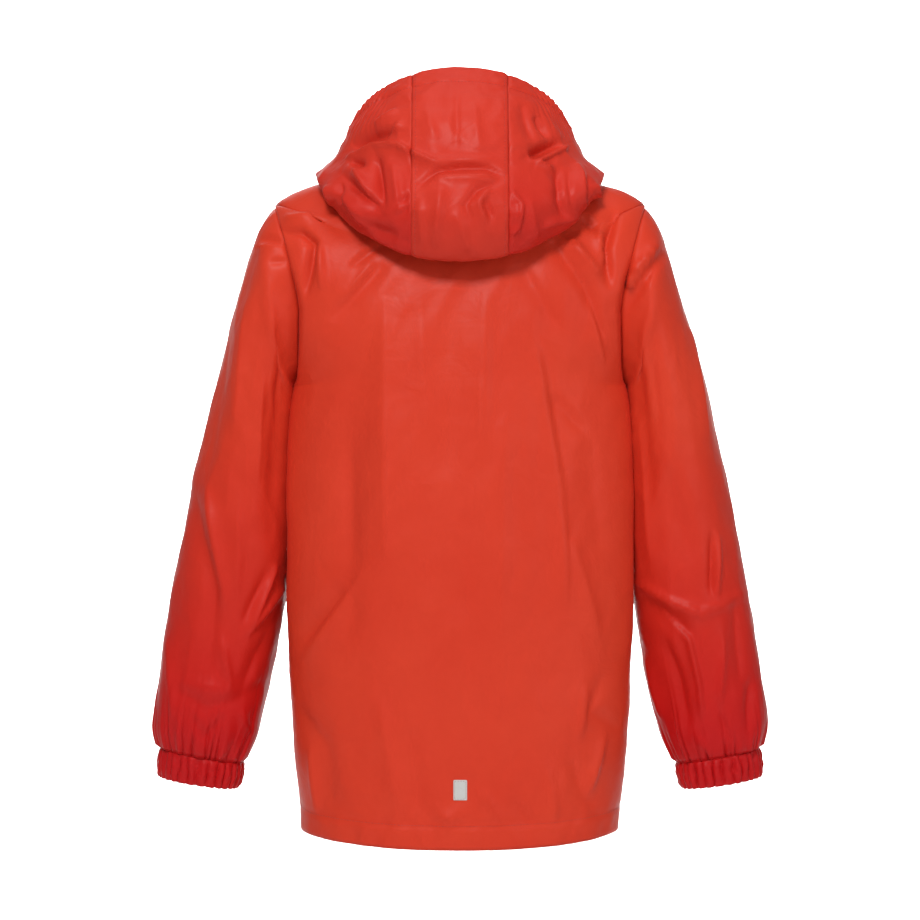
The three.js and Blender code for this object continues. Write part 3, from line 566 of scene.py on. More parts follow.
# Back panel
backPanel = {
    "columns": 126,
    "rows": 212,
    "size": (402, 590),
    "halfRound": 215,  # from the middle round to the armhole
    "hemDepth": 19.5,
    "hemRise": 0.7,
    "seamRise": 0.9,
    # half width, height, lean and the places it runs through, as x towards the left and z
    "creases": [
        (4.6, -7.8, 0.2, (156, -51), (139, -52), (127, -62), (130, -82), (135, -106)),
        (6.1, 4.5, 0.0, (154, -39), (120, -40)),
        (7.0, 4.5, 0.2, (123, -61), (120, -100)),
        (7.0, -3.9, 0.3, (113, -128), (67, -80)),
        (3.5, -3.3, 0.2, (96, -83), (71, -63)),
        (4.3, 2.7, 0.2, (103, -113), (77, -80)),
        (19.1, 4.5, 0.0, (66, -110), (64, -339)),
        (17.4, -6.0, 0.2, (94, -217), (96, -409)),
        (12.2, 4.5, -0.3, (85, -348), (137, -429)),
        (10.4, -5.2, 0.2, (100, -365), (137, -409)),
        (7.8, -3.0, 0.3, (142, -471), (117, -502)),
        (10.4, -3.2, 0.2, (116, -491), (111, -561)),
        (7.0, 3.8, 0.2, (130, -504), (125, -561)),
        (7.8, -2.1, 0.3, (97, -226), (97, -339)),
        (12.2, 1.8, 0.2, (35, -113), (28, -217)),
        (15.7, -1.8, 0.2, (10, -104), (7, -287)),
        (12.2, 2.1, 0.2, (-23, -104), (-19, -235)),
        (17.4, 2.4, 0.2, (-39, -217), (-35, -409)),
        (5.7, -5.7, 0.3, (-81, -59), (-111, -100), (-124, -143)),
        (5.2, 6.0, 0.2, (-97, -59), (-122, -89)),
        (4.3, -5.2, 0.2, (-107, -38), (-124, -52)),
        (4.8, -9.0, 0.2, (-137, -35), (-129, -66), (-132, -97)),
        (5.2, 5.2, 0.2, (-122, -48), (-127, -80)),
        (7.0, 3.8, 0.2, (-113, -113), (-125, -165)),
        (7.8, -3.0, 0.3, (-52, -80), (-87, -139)),
        (7.5, 3.6, 0.45, (-67, -155), (-77, -209), (-88, -278)),
        (8.5, -2.0, 0.2, (-74, -158), (-92, -269)),
        (6.1, -3.9, 0.4, (-85, -198), (-109, -226)),
        (7.8, 3.0, 0.5, (-88, -278), (-92, -374)),
        (12.0, -2.6, 0.2, (-113, -235), (-123, -339)),
        (12.2, 3.6, 0.3, (-97, -322), (-122, -409)),
        (6.1, -2.8, 0.2, (-124, -442), (-115, -471), (-142, -491)),
        (7.0, 3.9, 0.2, (-110, -452), (-104, -495)),
        (7.0, 4.2, 0.2, (-126, -495), (-111, -548)),
        (7.0, -4.5, 0.2, (-97, -513), (-115, -558)),
        (7.0, 2.7, 0.2, (-77, -522), (-83, -565)),
        (22.6, 2.4, 0.0, (0, -374), (-9, -513)),
        (3.5, 2.7, 0.0, (21, -553), (9, -567), (-2, -551)),
        (5.2, 3.0, 0.2, (-19, -539), (-35, -567)),
        (5.2, -2.7, 0.2, (-48, -548), (-61, -569)),
        (10.4, 2.7, 0.2, (70, -461), (52, -556)),
        (7.8, -2.4, 0.2, (42, -487), (35, -561)),
    ],
}


def hemRelief(x, fromHem, depth, rise):  # a turned hem: two layers, puckered along its stitches
    step = rise * smooth((depth + 0.8 - fromHem) / 1.6)
    pleats = 1.3 * bump(x + fromHem * 0.45, 9, 0, 10) + crumple(x - fromHem * 0.3, 3, fromHem * 0.2, 17)
    above = 1.7 * bump(x - fromHem * 0.25, 5, 0, 14) * exp(-(max(0.0, fromHem - depth) / 15))
    near = exp(-(((fromHem - depth * 0.6) / (depth * 0.8)) ** 2))
    return step + pleats * near + above * smooth(fromHem / depth) + stitchDip(fromHem - depth, 1.1, 1.6)


backCreases = creaseField(backPanel["creases"])


def backRelief(across, along, p):
    share = abs(1 - 2 * across)
    fromEdge = (1 - share) * backPanel["halfRound"]
    fromHem = along * bodyLength
    away = fromSeam(fromEdge) * fromSeam((1 - along) * bodyLength)
    height = backPanel["seamRise"] + backCreases(p.x, p.z)
    height += 1.5 * bump(p.x, p.z * 0.35, 4, 46) + 0.6 * bump(p.x * 1.3 + p.z * 0.4, p.z * 0.7, 8, 17)
    height += 0.7 * crumple(p.x + p.z * 0.2, p.z * 0.5, 12, 34)
    height += hemRelief(p.x, fromHem, backPanel["hemDepth"], backPanel["hemRise"])
    height += 0.8 * bump(p.x, p.y, p.z, 8) * exp(-fromEdge / 10)
    underPatch = exp(-((((p.x - patch["x"]) / 11) ** 4) + ((p.z - patch["z"]) / 14) ** 4))
    return mix(away * height, patch["clothRise"], underPatch)


def backPlace(across, along):
    share = 1 - 2 * across
    p = bodyPoint(along, 1, abs(share), -1 if share < 0 else 1)
    upTheArmhole = (along * bodyLength - bodyShape["sideLength"]) / bodyShape["armholeLength"]
    if 0 < upTheArmhole < 1:
        fromEdge = (1 - abs(share)) * backPanel["halfRound"]
        p.y -= armpitValley(pi * upTheArmhole, fromEdge, bodyShape["valleyWidth"])
    return p


def addPiece(piece, node):
    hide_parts(node)
    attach(piece, "garment")


made = makeCloth("back_panel", backPanel, backPlace, backRelief, bodyCloth)
addPiece(made, "back")

# Front panels, one on each side of the zip
frontPanels = {
    "columns": 52,
    "rows": 200,
    "size": (205, 585),
    "halfRound": 200,
    "hemDepth": 19.5,
    "hemRise": 0.7,
    "zipStitch": 6,
    # on the wearer's left front; the right one has them a little lower
    "creases": [
        (14, -5.2, 0.2, (60, -90), (96, -128), (112, -168)),
        (7, 3.9, 0.2, (74, -84), (108, -120)),
        (8, -3.9, 0.3, (30, -104), (58, -150), (66, -196)),
        (18, -3.9, 0.2, (78, -190), (72, -330), (70, -480)),
        (15, -5.2, 0.2, (132, -292), (96, -346), (60, -420)),
        (8, 3.9, -0.3, (128, -318), (98, -362), (74, -412)),
        (7, -4.2, 0.2, (136, -214), (112, -262), (106, -304)),
        (12, 4.7, 0.0, (112, -450), (100, -500), (96, -560)),
        (8, -3.9, 0.2, (134, -466), (120, -506), (117, -556)),
        (10, -2.6, 0.2, (40, -200), (52, -270), (50, -330)),
        (11, 2.6, 0.2, (26, -330), (36, -400), (40, -480)),
        (7, -3.1, 0.2, (22, -470), (44, -520), (52, -562)),
        (6, 2.6, 0.2, (72, -500), (66, -560)),
    ],
}
frontCreases = creaseField(frontPanels["creases"])


def frontRelief(side):
    def relief(across, along, p):
        share = across if side > 0 else 1 - across
        fromEdge = (1 - share) * frontPanels["halfRound"]
        fromZip = share * frontPanels["halfRound"]
        fromHem = along * bodyLength
        away = fromSeam(fromEdge) * fromSeam((1 - along) * bodyLength)
        x = abs(p.x)
        height = smooth(fromZip / 14) * frontCreases(x, p.z + (6 if side > 0 else -4))
        height += 1.5 * bump(x, p.z * 0.35, 20 * side, 46) * smooth(fromZip / 20)
        height += 0.6 * bump(x * 1.3, p.z * 0.7, 8 * side, 17) + 0.7 * crumple(x, p.z * 0.5, 30 + side, 34)
        height += hemRelief(p.x, fromHem, frontPanels["hemDepth"], frontPanels["hemRise"])
        height += 0.8 * bump(p.x, p.y, p.z, 8) * exp(-fromEdge / 10)
        edge = stitchDip(fromZip - frontPanels["zipStitch"], 0.5)
        edge += 0.5 * bump(p.x, p.z, 2, 7) * exp(-fromZip / 10)
        return away * (height + backPanel["seamRise"]) + edge

    return relief


def frontPlace(side):
    def place(across, along):
        return bodyPoint(along, -1, across if side > 0 else 1 - across, side)

    return place


for sideName, side in bothSides:
    made = makeCloth(f"front_panel_{sideName}", frontPanels, frontPlace(side), frontRelief(side), bodyCloth)
    addPiece(made, f"front_{sideName}")

# Sleeves: rings as the outer and the inner end of their width
# outerX, outerZ, innerX, innerZ, halfDepth, middleY
sleeveRings = [
    (176.5, -42, 149.8, -188, 63, -4),
    (186, -66, 149, -195, 64, -7),
    (194, -91, 149.2, -205, 64, -10),
    (203, -122, 149.4, -219, 63.5, -12),
    (213, -158, 149.4, -237, 63, -14),
    (222.5, -194, 149.6, -258, 62, -15),
    (232, -235, 150, -284, 61, -16),
    (241, -276, 150.8, -313, 60, -17),
    (249, -318, 153.6, -345, 59, -18),
    (257.5, -361, 159, -380, 58, -19),
    (264.5, -400, 165, -415, 56.5, -20),
    (269.5, -438, 172, -448, 54.5, -20.5),
    (275, -470, 179.5, -480, 52, -21),
    (276, -494, 186, -503, 46, -21),
    (270.5, -512, 197, -525.5, 36, -21),
]
sleeves = {
    "columns": 224,
    "rows": 118,
    "size": (320, 480),
    "seeds": (3, 5),
    "gathers": 28,
    "gatherHeight": 4.0,
    "gatherReach": 27,
    "seamRise": 1.0,
    "valleyWidth": 20,
    # the sleeve falls away from the body on its inner back: depth in mm, middle and half width in degrees
    "cleft": (8, 50, 20),
    "ringRoundness": 0.92,
    # the creases seen from the back: half width, height, lean and the places, as x and z
    "leftBack": [
        (3.1, -4.3, 0.2, (175, -55), (156, -58)),
        (3.1, 2.9, 0.2, (181, -63), (157, -66)),
        (3.5, -2.9, 0.2, (168, -77), (149, -77)),
        (10.6, 3.5, 0.2, (186, -110), (198, -217)),
        (8.9, -3.5, 0.2, (163, -137), (175, -234)),
        (9.7, -3.2, 0.2, (205, -137), (225, -261)),
        (7.1, 2.6, 0.2, (174, -181), (179, -270)),
        (8.9, -5.5, 0.3, (239, -280), (216, -365), (222, -436)),
        (8.0, 4.6, 0.2, (224, -275), (209, -380)),
        (10.6, 3.2, 0.2, (195, -287), (198, -376)),
        (4.4, 5.2, 0.3, (165, -346), (186, -397)),
        (4.4, 4.6, 0.3, (160, -367), (189, -406)),
        (4.4, -5.2, 0.2, (170, -351), (192, -395)),
        (6.2, -4.1, 0.2, (175, -411), (195, -456)),
        (5.3, -3.2, 0.3, (251, -457), (225, -471), (200, -465), (175, -450)),
        (7.1, 2.6, 0.2, (248, -449), (204, -456)),
        (3.5, -3.3, 0.2, (239, -478), (227, -498), (211, -479)),
        (4.4, 3.2, 0.2, (197, -475), (189, -498)),
        (8.0, 3.5, 0.2, (259, -411), (255, -482)),
        (6.2, 3.5, 0.2, (211, -411), (204, -456)),
    ],
    "rightBack": [
        (5.2, -6.0, 0.3, (-181, -68), (-163, -93), (-147, -118)),
        (4.4, 7.2, 0.2, (-173, -63), (-143, -105)),
        (2.7, 4.9, 0.2, (-154, -92), (-146, -103)),
        (4.4, 4.6, 0.2, (-143, -34), (-151, -77)),
        (8.9, 3.8, 0.2, (-204, -137), (-220, -234)),
        (8.9, -3.8, 0.2, (-168, -137), (-177, -234)),
        (8.9, 3.2, 0.2, (-156, -217), (-170, -341)),
        (10.6, -3.5, 0.2, (-184, -261), (-204, -341)),
        (5.3, 4.9, 0.2, (-159, -361), (-189, -378), (-213, -388), (-253, -371)),
        (8.0, -6.7, 0.2, (-168, -381), (-204, -404)),
        (4.1, 4.9, 0.4, (-178, -387), (-204, -411), (-213, -449), (-216, -479)),
        (7.1, -5.4, 0.2, (-181, -411), (-193, -440), (-204, -487)),
        (2.8, -5.2, 0.3, (-224, -319), (-223, -371)),
        (4.4, 3.8, 0.2, (-229, -319), (-228, -372)),
        (7.1, -3.8, 0.2, (-244, -376), (-250, -447)),
        (5.3, -4.3, 0.2, (-260, -447), (-257, -496)),
        (5.3, 4.3, 0.2, (-170, -429), (-184, -484)),
        (7.1, 3.8, 0.2, (-234, -411), (-230, -482)),
        (3.5, 3.8, 0.2, (-213, -498), (-223, -514)),
        (4.4, -3.8, 0.2, (-227, -465), (-241, -502)),
    ],
    # those at the front and sides: the places are degrees round from the inner side and mm from the armhole
    "leftFront": [
        (11, -5.8, 0.3, (325, 262), (290, 322), (252, 384)),
        (7, 4.3, 0.2, (318, 286), (280, 352)),
        (13, -6.5, 0.3, (238, 48), (270, 96), (306, 146)),
        (6, 4.9, 0.2, (230, 66), (262, 112), (290, 140)),
        (8, -4.3, 0.2, (222, 210), (240, 300), (234, 366)),
        (9, 3.8, 0.2, (262, 190), (270, 300)),
        (7, -4.3, 0.2, (330, 378), (290, 404), (246, 398)),
        (6, -3.5, 0.2, (206, 120), (214, 200)),
        (5, 3.5, 0.2, (300, 410), (282, 450)),
        (5, -3.2, 0.2, (250, 414), (240, 456)),
    ],
    "rightFront": [
        (12, -7.2, 0.3, (240, 40), (276, 84), (310, 150)),
        (5, 5.2, 0.2, (234, 56), (268, 98), (288, 128)),
        (12, -5.8, 0.2, (325, 278), (284, 330), (250, 400)),
        (7, 4.6, 0.2, (312, 300), (276, 352), (246, 380)),
        (8, -4.3, 0.2, (216, 180), (232, 270), (226, 350)),
        (9, 3.8, 0.2, (258, 170), (266, 270)),
        (8, -4.6, 0.2, (330, 392), (284, 418), (240, 410)),
        (5, 3.5, 0.2, (288, 424), (276, 458)),
    ],
}


def ringPoint(ring, turn):
    def rounded(value):
        return (1 if value > 0 else -1) * abs(value) ** sleeves["ringRoundness"]

    outerX, outerZ, innerX, innerZ, halfDepth, middleY = ring
    reach = -rounded(cos(turn)) / 2
    return Vector(
        (
            (outerX + innerX) / 2 + reach * (outerX - innerX),
            middleY + halfDepth * rounded(sin(turn)),
            (outerZ + innerZ) / 2 + reach * (outerZ - innerZ),
        )
    )


def sleeveCurve(turn):
    start = armholePoint(turn if turn <= pi else turn - 2 * pi)
    return [start] + [ringPoint(ring, turn) for ring in sleeveRings]


def curveStops(points):  # how far along each point lies, as shares of the whole
    stops = [0.0]
    for a, b in zip(points, points[1:]):
        stops.append(stops[-1] + (b - a).length)
    return [s / stops[-1] for s in stops]


outerStops = curveStops(sleeveCurve(pi))
curvesMade = {}


def sleevePlace(side):
    def place(across, along):
        turn = (across % 1.0) * 2 * pi
        if turn not in curvesMade:
            curvesMade[turn] = sleeveCurve(turn)
        k = next((n for n, stop in enumerate(outerStops) if stop > along), len(outerStops) - 1) - 1
        share = (along - outerStops[k]) / (outerStops[k + 1] - outerStops[k])
        p = alongCurve(curvesMade[turn], k + min(1.0, share))
        if 0 < turn < pi:
            p.y -= armpitValley(turn, along * sleeves["size"][1], sleeves["valleyWidth"])
        return Vector((side * p.x, p.y, p.z))

    return place


def onRing(share, radius=60):  # the turn of a share of the round, and a place there for the noise to read
    turn = 2 * pi * share
    return turn, radius * cos(turn), radius * sin(turn)


def puff(turn, count, sharpness):  # rounded puffs with sharp valleys, from -0.6 to 0.4
    return abs(sin(turn * count / 2)) ** sharpness - 0.6


def sleeveRelief(side, seed):
    s = sleeves
    dice = Random(seed)
    reaches = [s["gatherReach"] * dice.choice((0.45, 0.6, 0.8, 1.0, 1.6)) for _ in range(s["gathers"])]
    heights = [dice.uniform(0.45, 1.25) for _ in range(s["gathers"])]
    round_, length = s["size"]
    seenBack = creaseField(s["leftBack" if side > 0 else "rightBack"])
    turned = [
        (width, height, lean, *((degrees / 360 * round_, mm) for degrees, mm in points))
        for width, height, lean, *points in s["leftFront" if side > 0 else "rightFront"]
    ]
    seenFront = creaseField(turned)

    def relief(across, along, p):
        ring, ringX, ringY = onRing(across)
        fromArmhole = along * length
        fromCuff = (1 - along) * length
        away = fromSeam(fromArmhole, 3.4) * fromSeam(fromCuff, 1.6)
        height = s["seamRise"] + seenBack(p.x, p.z) * smooth((p.y + 32) / 26)
        height += seenFront(across * round_, fromArmhole)
        deep, middle, spread = s["cleft"]
        beside = exp(-(((across * 360 - middle) / spread) ** 2))
        height -= deep * beside * smooth(along / 0.12) * smooth((0.64 - along) / 0.3)
        height += 1.5 * bump(ringX, ringY, fromArmhole * 0.3 + 300 * seed, 38) * smooth(fromArmhole / 30)
        height += 0.6 * bump(ringX, ringY, fromArmhole * 0.8 + 90 * seed, 15)
        height += 0.8 * crumple(ringX, ringY, fromArmhole * 0.45 + 50 * seed, 30)
        wander = ring + 0.06 * bump(ringX, ringY, 40 * seed, 14) * s["gathers"] / 6
        k = int(wander * s["gathers"] / (2 * pi)) % s["gathers"]
        rise = exp(-((fromCuff / reaches[k]) ** 1.2) * 1.5)
        height += s["gatherHeight"] * heights[k] * rise * 1.7 * puff(wander, s["gathers"], 0.9)
        pucker = bump(ringX * 1.6, ringY * 1.6, fromCuff * 0.25 + 11 * seed, 13)
        height += 1.2 * pucker * exp(-fromCuff / 34)
        height += 1.1 * bump(ringX, ringY, fromArmhole * 0.5 + 7 * seed, 8) * exp(-fromArmhole / 11)
        return away * height

    return relief


for sideName, side in bothSides:
    made = makeCloth(
        f"sleeve_cloth_{sideName}",
        sleeves,
        sleevePlace(side),
        sleeveRelief(side, sleeves["seeds"][side < 0]),
        sleeveClothWithPaintedShade,
        closed=True,
        turned=side < 0,
    )
    addPiece(made, f"sleeve_{sideName}")

# Cuffs: an elastic runs in each, so the cloth stands in puffs round it
cuffs = {
    "columns": 280,
    "rows": 18,
    "size": (240, 26),
    "seeds": (7, 8),
    "top": (270.5, -512.2, 197, -525.7, 36, -21),
    "foot": (272.5, -538, 201.5, -549, 34.5, -21),
    "gathers": 28,
    "height": 4.6,
    "swell": 1.2,
}


def cuffPlace(side):
    def place(across, along):
        turn = (across % 1.0) * 2 * pi
        ring = [mix(a, b, along) for a, b in zip(cuffs["top"], cuffs["foot"])]
        middle = (ringPoint(ring, 0) + ringPoint(ring, pi)) / 2
        p = ringPoint(ring, turn)
        p += (p - middle).normalized() * cuffs["swell"] * sin(pi * along)
        return Vector((side * p.x, p.y, p.z))

    return place


def cuffRelief(seed):
    dice = Random(seed)
    heights = [dice.uniform(0.55, 1.2) for _ in range(cuffs["gathers"])]

    def relief(across, along, p):
        ring, ringX, ringY = onRing(across)
        wander = ring + 0.07 * bump(ringX, ringY, 22 * along + 40 * seed, 12)
        k = int((wander % (2 * pi)) * cuffs["gathers"] / (2 * pi)) % cuffs["gathers"]
        ends = 0.5 + 0.5 * sin(pi * along) ** 0.7
        height = cuffs["height"] * heights[k] * ends * (puff(wander, cuffs["gathers"], 0.85) - 0.1)
        height += 0.8 * bump(ringX, ringY, 26 * along + 9 * seed, 5)
        fromTop = along * cuffs["size"][1]
        fromFoot = cuffs["size"][1] - fromTop
        return (height - 0.6 * exp(-((fromFoot / 2) ** 2))) * fromSeam(fromTop, 1.4)

    return relief


for sideName, side in bothSides:
    made = makeCloth(
        f"cuff_cloth_{sideName}",
        cuffs,
        cuffPlace(side),
        cuffRelief(cuffs["seeds"][side < 0]),
        cuffClothWithPaintedShade,
        closed=True,
        turned=side < 0,
        thickness=1.4,
    )
    addPiece(made, f"cuff_{sideName}")

# Hood: loops round the neck from the neck seam to the rim
# width, backY, backZ, sideY, sideZ, frontY, frontZ
hoodLoops = [
    (71, 54, 12, 2, 23, -64, -40),
    (96, 84, -36, 9, 16, -66, -29),
    (119, 106, -80, 17, 6, -67, -19),
    (128, 126, -40, 22, 4, -68, -12),
    (113, 109, 6, 18, 16, -68, -6),
    (105, 95, 48, 11, 26, -68, -2),
    (100, 72, 79, 4, 31, -67, 2),
    (97, 60, 92.5, -1, 34, -66, 5),
]
hood = {
    "backColumns": 12,
    "frontColumns": 11,
    "seamColumn": 4,
    "seamX": 42,
    "centre": {"columns": 40, "rows": 176, "size": (86, 330)},
    "sides": {"columns": 218, "rows": 176, "size": (290, 250)},
    "seamStitch": 0.045,  # how far across the centre its seams' stitches lie
    "rimDepth": 20,
    "rimRise": 0.7,
    "gatherSpacing": 6,
    "gatherHeight": 3.6,
    # half width, height, lean and the places on the outer layer, as x and z
    "creases": [
        (6.5, -9.8, 0.2, (95, 23), (76, 32), (55, 34)),
        (4.0, 6.2, 0.3, (98, 14), (75, 23), (53, 21), (40, 13), (17, 2)),
        (3.5, -6.5, 0.0, (95, 9), (83, 5)),
        (6.9, 6.5, 0.0, (92, 0), (78, -24)),
        (5.2, -8.5, 0.2, (103, -2), (86, -19), (70, -36)),
        (4.3, -7.8, 0.2, (71, 10), (66, -33)),
        (6.0, 4.5, 0.0, (109, -16), (81, -42)),
        (6.0, 3.2, 0.2, (58, 2), (51, -41)),
        (2.6, -2.9, 0.3, (56, -33), (41, -21)),
        (2.6, -2.6, 0.3, (53, -42), (40, -31)),
        (3.5, -5.9, 0.3, (36, -15), (20, -3), (0, 1), (-23, 0), (-38, -8)),
        (6.0, 2.6, 0.0, (29, 5), (-29, 7)),
        (6.9, 3.9, 0.0, (21, -10), (-28, -10)),
        (3.0, -4.3, 0.2, (-33, -14), (-15, -20), (-5, -33), (-10, -48)),
        (3.5, 3.9, 0.2, (-25, -20), (-16, -32), (-22, -48)),
        (2.6, -3.4, 0.2, (-22, -29), (-28, -46)),
        (3.0, 3.8, 0.3, (-43, -20), (-53, -32), (-50, -52), (-41, -60)),
        (6.9, -11.7, 0.2, (-60, 13), (-88, 25)),
        (3.7, 6.8, 0.3, (-94, 23), (-67, 7), (-80, 2)),
        (5.2, -7.8, 0.2, (-85, 1), (-90, -42)),
        (6.9, 6.5, 0.0, (-101, 7), (-107, -29)),
        (2.6, -3.2, 0.3, (-94, -4), (-97, -33)),
        (2.6, -1.7, 0.0, (3, 65), (3, 18)),
        (4.3, 3.9, 0.2, (74, 42), (55, 54)),
        (4.3, 3.2, 0.2, (64, 30), (51, 42)),
        (5.2, -4.2, 0.2, (-53, 58), (-63, 27)),
        (4.3, -6.5, 0.2, (-66, 49), (-77, 30)),
        (7.8, 2.1, 0.2, (29, 53), (21, 24)),
        (8.6, 2.3, 0.2, (-12, 59), (-17, 15)),
        (6.9, -3.9, 0.2, (86, -48), (54, -60)),
        (6.0, 3.2, 0.2, (-73, -50), (-104, -38)),
        (5.2, 5.2, 0.0, (116, -12), (111, -26)),
        (3.5, -5.2, 0.2, (105, -9), (102, -28)),
        (5.2, 5.2, 0.0, (-118, -10), (-121, -26)),
        (3.5, -5.2, 0.2, (-110, -7), (-108, -26)),
        (8.6, 3.4, 0.2, (16, -19), (21, -67)),
        (6.9, 2.9, 0.2, (4, -40), (-9, -71)),
        (6.0, 2.3, 0.2, (35, -28), (31, -71)),
        (8.6, 2.6, 0.2, (-60, -28), (-66, -62)),
        (4.3, 2.9, 0.2, (95, -32), (76, -55)),
        (4.3, 2.9, 0.2, (-117, -32), (-97, -52)),
    ],
}


def hoodLoopPoint(loop, step, side):
    width, backY, backZ, sideY, sideZ, frontY, frontZ = loop
    h = hood
    seamTurn = pi / 2 - acos(h["seamX"] / width)
    endTurn = pi / 2 + acos(bodyShape["zipHalfOpening"] / width)
    if step <= h["seamColumn"]:
        turn = seamTurn * step / h["seamColumn"]
    elif step <= h["backColumns"]:
        turn = mix(seamTurn, pi / 2, (step - h["seamColumn"]) / (h["backColumns"] - h["seamColumn"]))
    else:
        turn = mix(pi / 2, endTurn, (step - h["backColumns"]) / h["frontColumns"])
    back, front = max(0.0, cos(turn)), max(0.0, -cos(turn))
    return Vector(
        (
            side * width * sin(turn),
            sideY + back * (backY - sideY) + front * (frontY - sideY),
            sideZ + back * (backZ - sideZ) + front**2 * (frontZ - sideZ),
        )
    )


def neckSeamPoint(step, side):
    if step <= hood["backColumns"]:
        return bodyPoint(1.0, 1, step / hood["backColumns"], side)
    return bodyPoint(1.0, -1, 1 - (step - hood["backColumns"]) / hood["frontColumns"], side)


hoodCurves = {}


def hoodPoint(step, along, side):
    key = (round(step, 5), side)
    if key not in hoodCurves:
        loops = [hoodLoopPoint(loop, step, side) for loop in hoodLoops]
        hoodCurves[key] = [neckSeamPoint(step, side)] + loops
    return alongCurve(hoodCurves[key], along * len(hoodLoops))


hoodCreases = creaseField(hood["creases"])


def hoodRelief(seamDistance):  # seamDistance gives how far a place lies from the nearest seam
    def relief(across, along, p):
        station = along * len(hoodLoops)
        toRim = len(hoodLoops) - station
        seam = seamDistance(across)
        away = fromSeam(seam, 1.7) * fromSeam(station * 25)
        outer = smooth((station - 2.7) / 0.5) * smooth(toRim / 0.6) * smooth((p.y + 14) / 24)
        height = 0.55 + outer * hoodCreases(p.x, p.z)
        height += smooth(toRim) * 1.4 * bump(p.x, p.y, p.z * 0.8, 30)
        height += smooth(toRim) * 0.6 * bump(p.x + 50, p.y, p.z, 12)
        height += smooth(toRim) * crumple(p.x, p.y, p.z, 26)
        height += 1.2 * bump(p.x * 0.5, p.y, p.z * 1.4, 6) * exp(-seam / 6)
        fromRim = toRim * hood["rimDepth"]
        height += hood["rimRise"] * smooth((hood["rimDepth"] + 1.2 - fromRim) / 2.4)
        height += stitchDip(fromRim - hood["rimDepth"], 0.6)
        height += 0.8 * bump(p.x, p.y, p.z, 7) * exp(-((fromRim / 26) ** 2))
        beside = smooth((abs(p.x) - 58) / 20) * smooth((p.y + 20) / 25)
        gathered = exp(-((max(0.0, fromRim - 12) / 22) ** 2)) * beside
        round_ = atan2(p.y - 5, abs(p.x)) * 100
        wander = round_ + 2.4 * bump(p.x, p.y, p.z, 13)
        height += hood["gatherHeight"] * gathered * puff(wander * 2 * pi / hood["gatherSpacing"], 1, 0.7)
        return away * height

    return relief


def centrePlace(across, along):
    step = hood["seamColumn"] * (1 - 2 * across)
    return hoodPoint(abs(step), along, -1 if step < 0 else 1)


def sidePlace(side):
    def place(across, along):
        share = 1 - across if side > 0 else across
        step = mix(hood["seamColumn"], hood["backColumns"] + hood["frontColumns"], share)
        return hoodPoint(step, along, side)

    return place


def sideSeam(side):
    return lambda across: (1 - across if side > 0 else across) * hood["sides"]["size"][0]


centreRelief = hoodRelief(lambda across: min(across, 1 - across) * hood["centre"]["size"][0])
made = makeCloth("hood_panel_centre", hood["centre"], centrePlace, centreRelief, hoodClothWithPaintedShade)
addPiece(made, "hood_centre")
for sideName, side in bothSides:
    made = makeCloth(
        f"hood_panel_{sideName}", hood["sides"], sidePlace(side), hoodRelief(sideSeam(side)), hoodSideClothWithPaintedShade
    )
    addPiece(made, f"hood_side_{sideName}")


# Sewing: each stitch is a short rounded bar of thread on the cloth
stitching = {"pitch": 3.0, "length": 2.1, "thickness": 0.42, "lift": 0.5}


def addBead(bm, matrix):  # a small round lump, stretched by the matrix
    bmesh.ops.create_uvsphere(bm, u_segments=6, v_segments=4, radius=1, matrix=matrix)


def sewLine(bm, clothName, path, steps):
    points = [onCloth(clothName, *path(k / steps)) for k in range(steps + 1)]
    travelled = 0.0
    for (a, normal), (b, _) in zip(points, points[1:]):
        travelled += (b - a).length * 1000
        if travelled < stitching["pitch"]:
            continue
        travelled -= stitching["pitch"]
        forward = (b - a).normalized()
        sideways = normal.cross(forward).normalized()
        turn = Matrix((forward, sideways, normal)).transposed().to_4x4()
        place = Matrix.Translation((a + b) / 2 + normal * stitching["lift"] / 1000)
        half = stitching["thickness"] / 2000
        size = Matrix.Diagonal((stitching["length"] / 2000, half, half, 1))
        addBead(bm, place @ turn @ size)


def finishSewing(bm, name):
    piece = makeObject(name, bm, thread)
    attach(piece, "garment")


bm = bmesh.new()
hemAlong = backPanel["hemDepth"] / bodyLength
sewLine(bm, "back_panel", lambda t: (t, hemAlong), 1200)
sewLine(bm, "front_panel_left", lambda t: (t, hemAlong), 600)
sewLine(bm, "front_panel_right", lambda t: (t, hemAlong), 600)
finishSewing(bm, "hem_stitches")

bm = bmesh.new()
rimAlong = 1 - 1 / len(hoodLoops)
sewLine(bm, "hood_panel_centre", lambda t: (t, rimAlong), 300)
sewLine(bm, "hood_panel_left", lambda t: (t, rimAlong), 900)
sewLine(bm, "hood_panel_right", lambda t: (t, rimAlong), 900)
for across in (hood["seamStitch"], 1 - hood["seamStitch"]):
    sewLine(bm, "hood_panel_centre", lambda t, a=across: (a, t), 1200)
finishSewing(bm, "hood_stitches")

bm = bmesh.new()
zipAcross = frontPanels["zipStitch"] / frontPanels["halfRound"]
sewLine(bm, "front_panel_left", lambda t: (zipAcross, t), 1500)
sewLine(bm, "front_panel_right", lambda t: (1 - zipAcross, t), 1500)
finishSewing(bm, "zip_stitches")

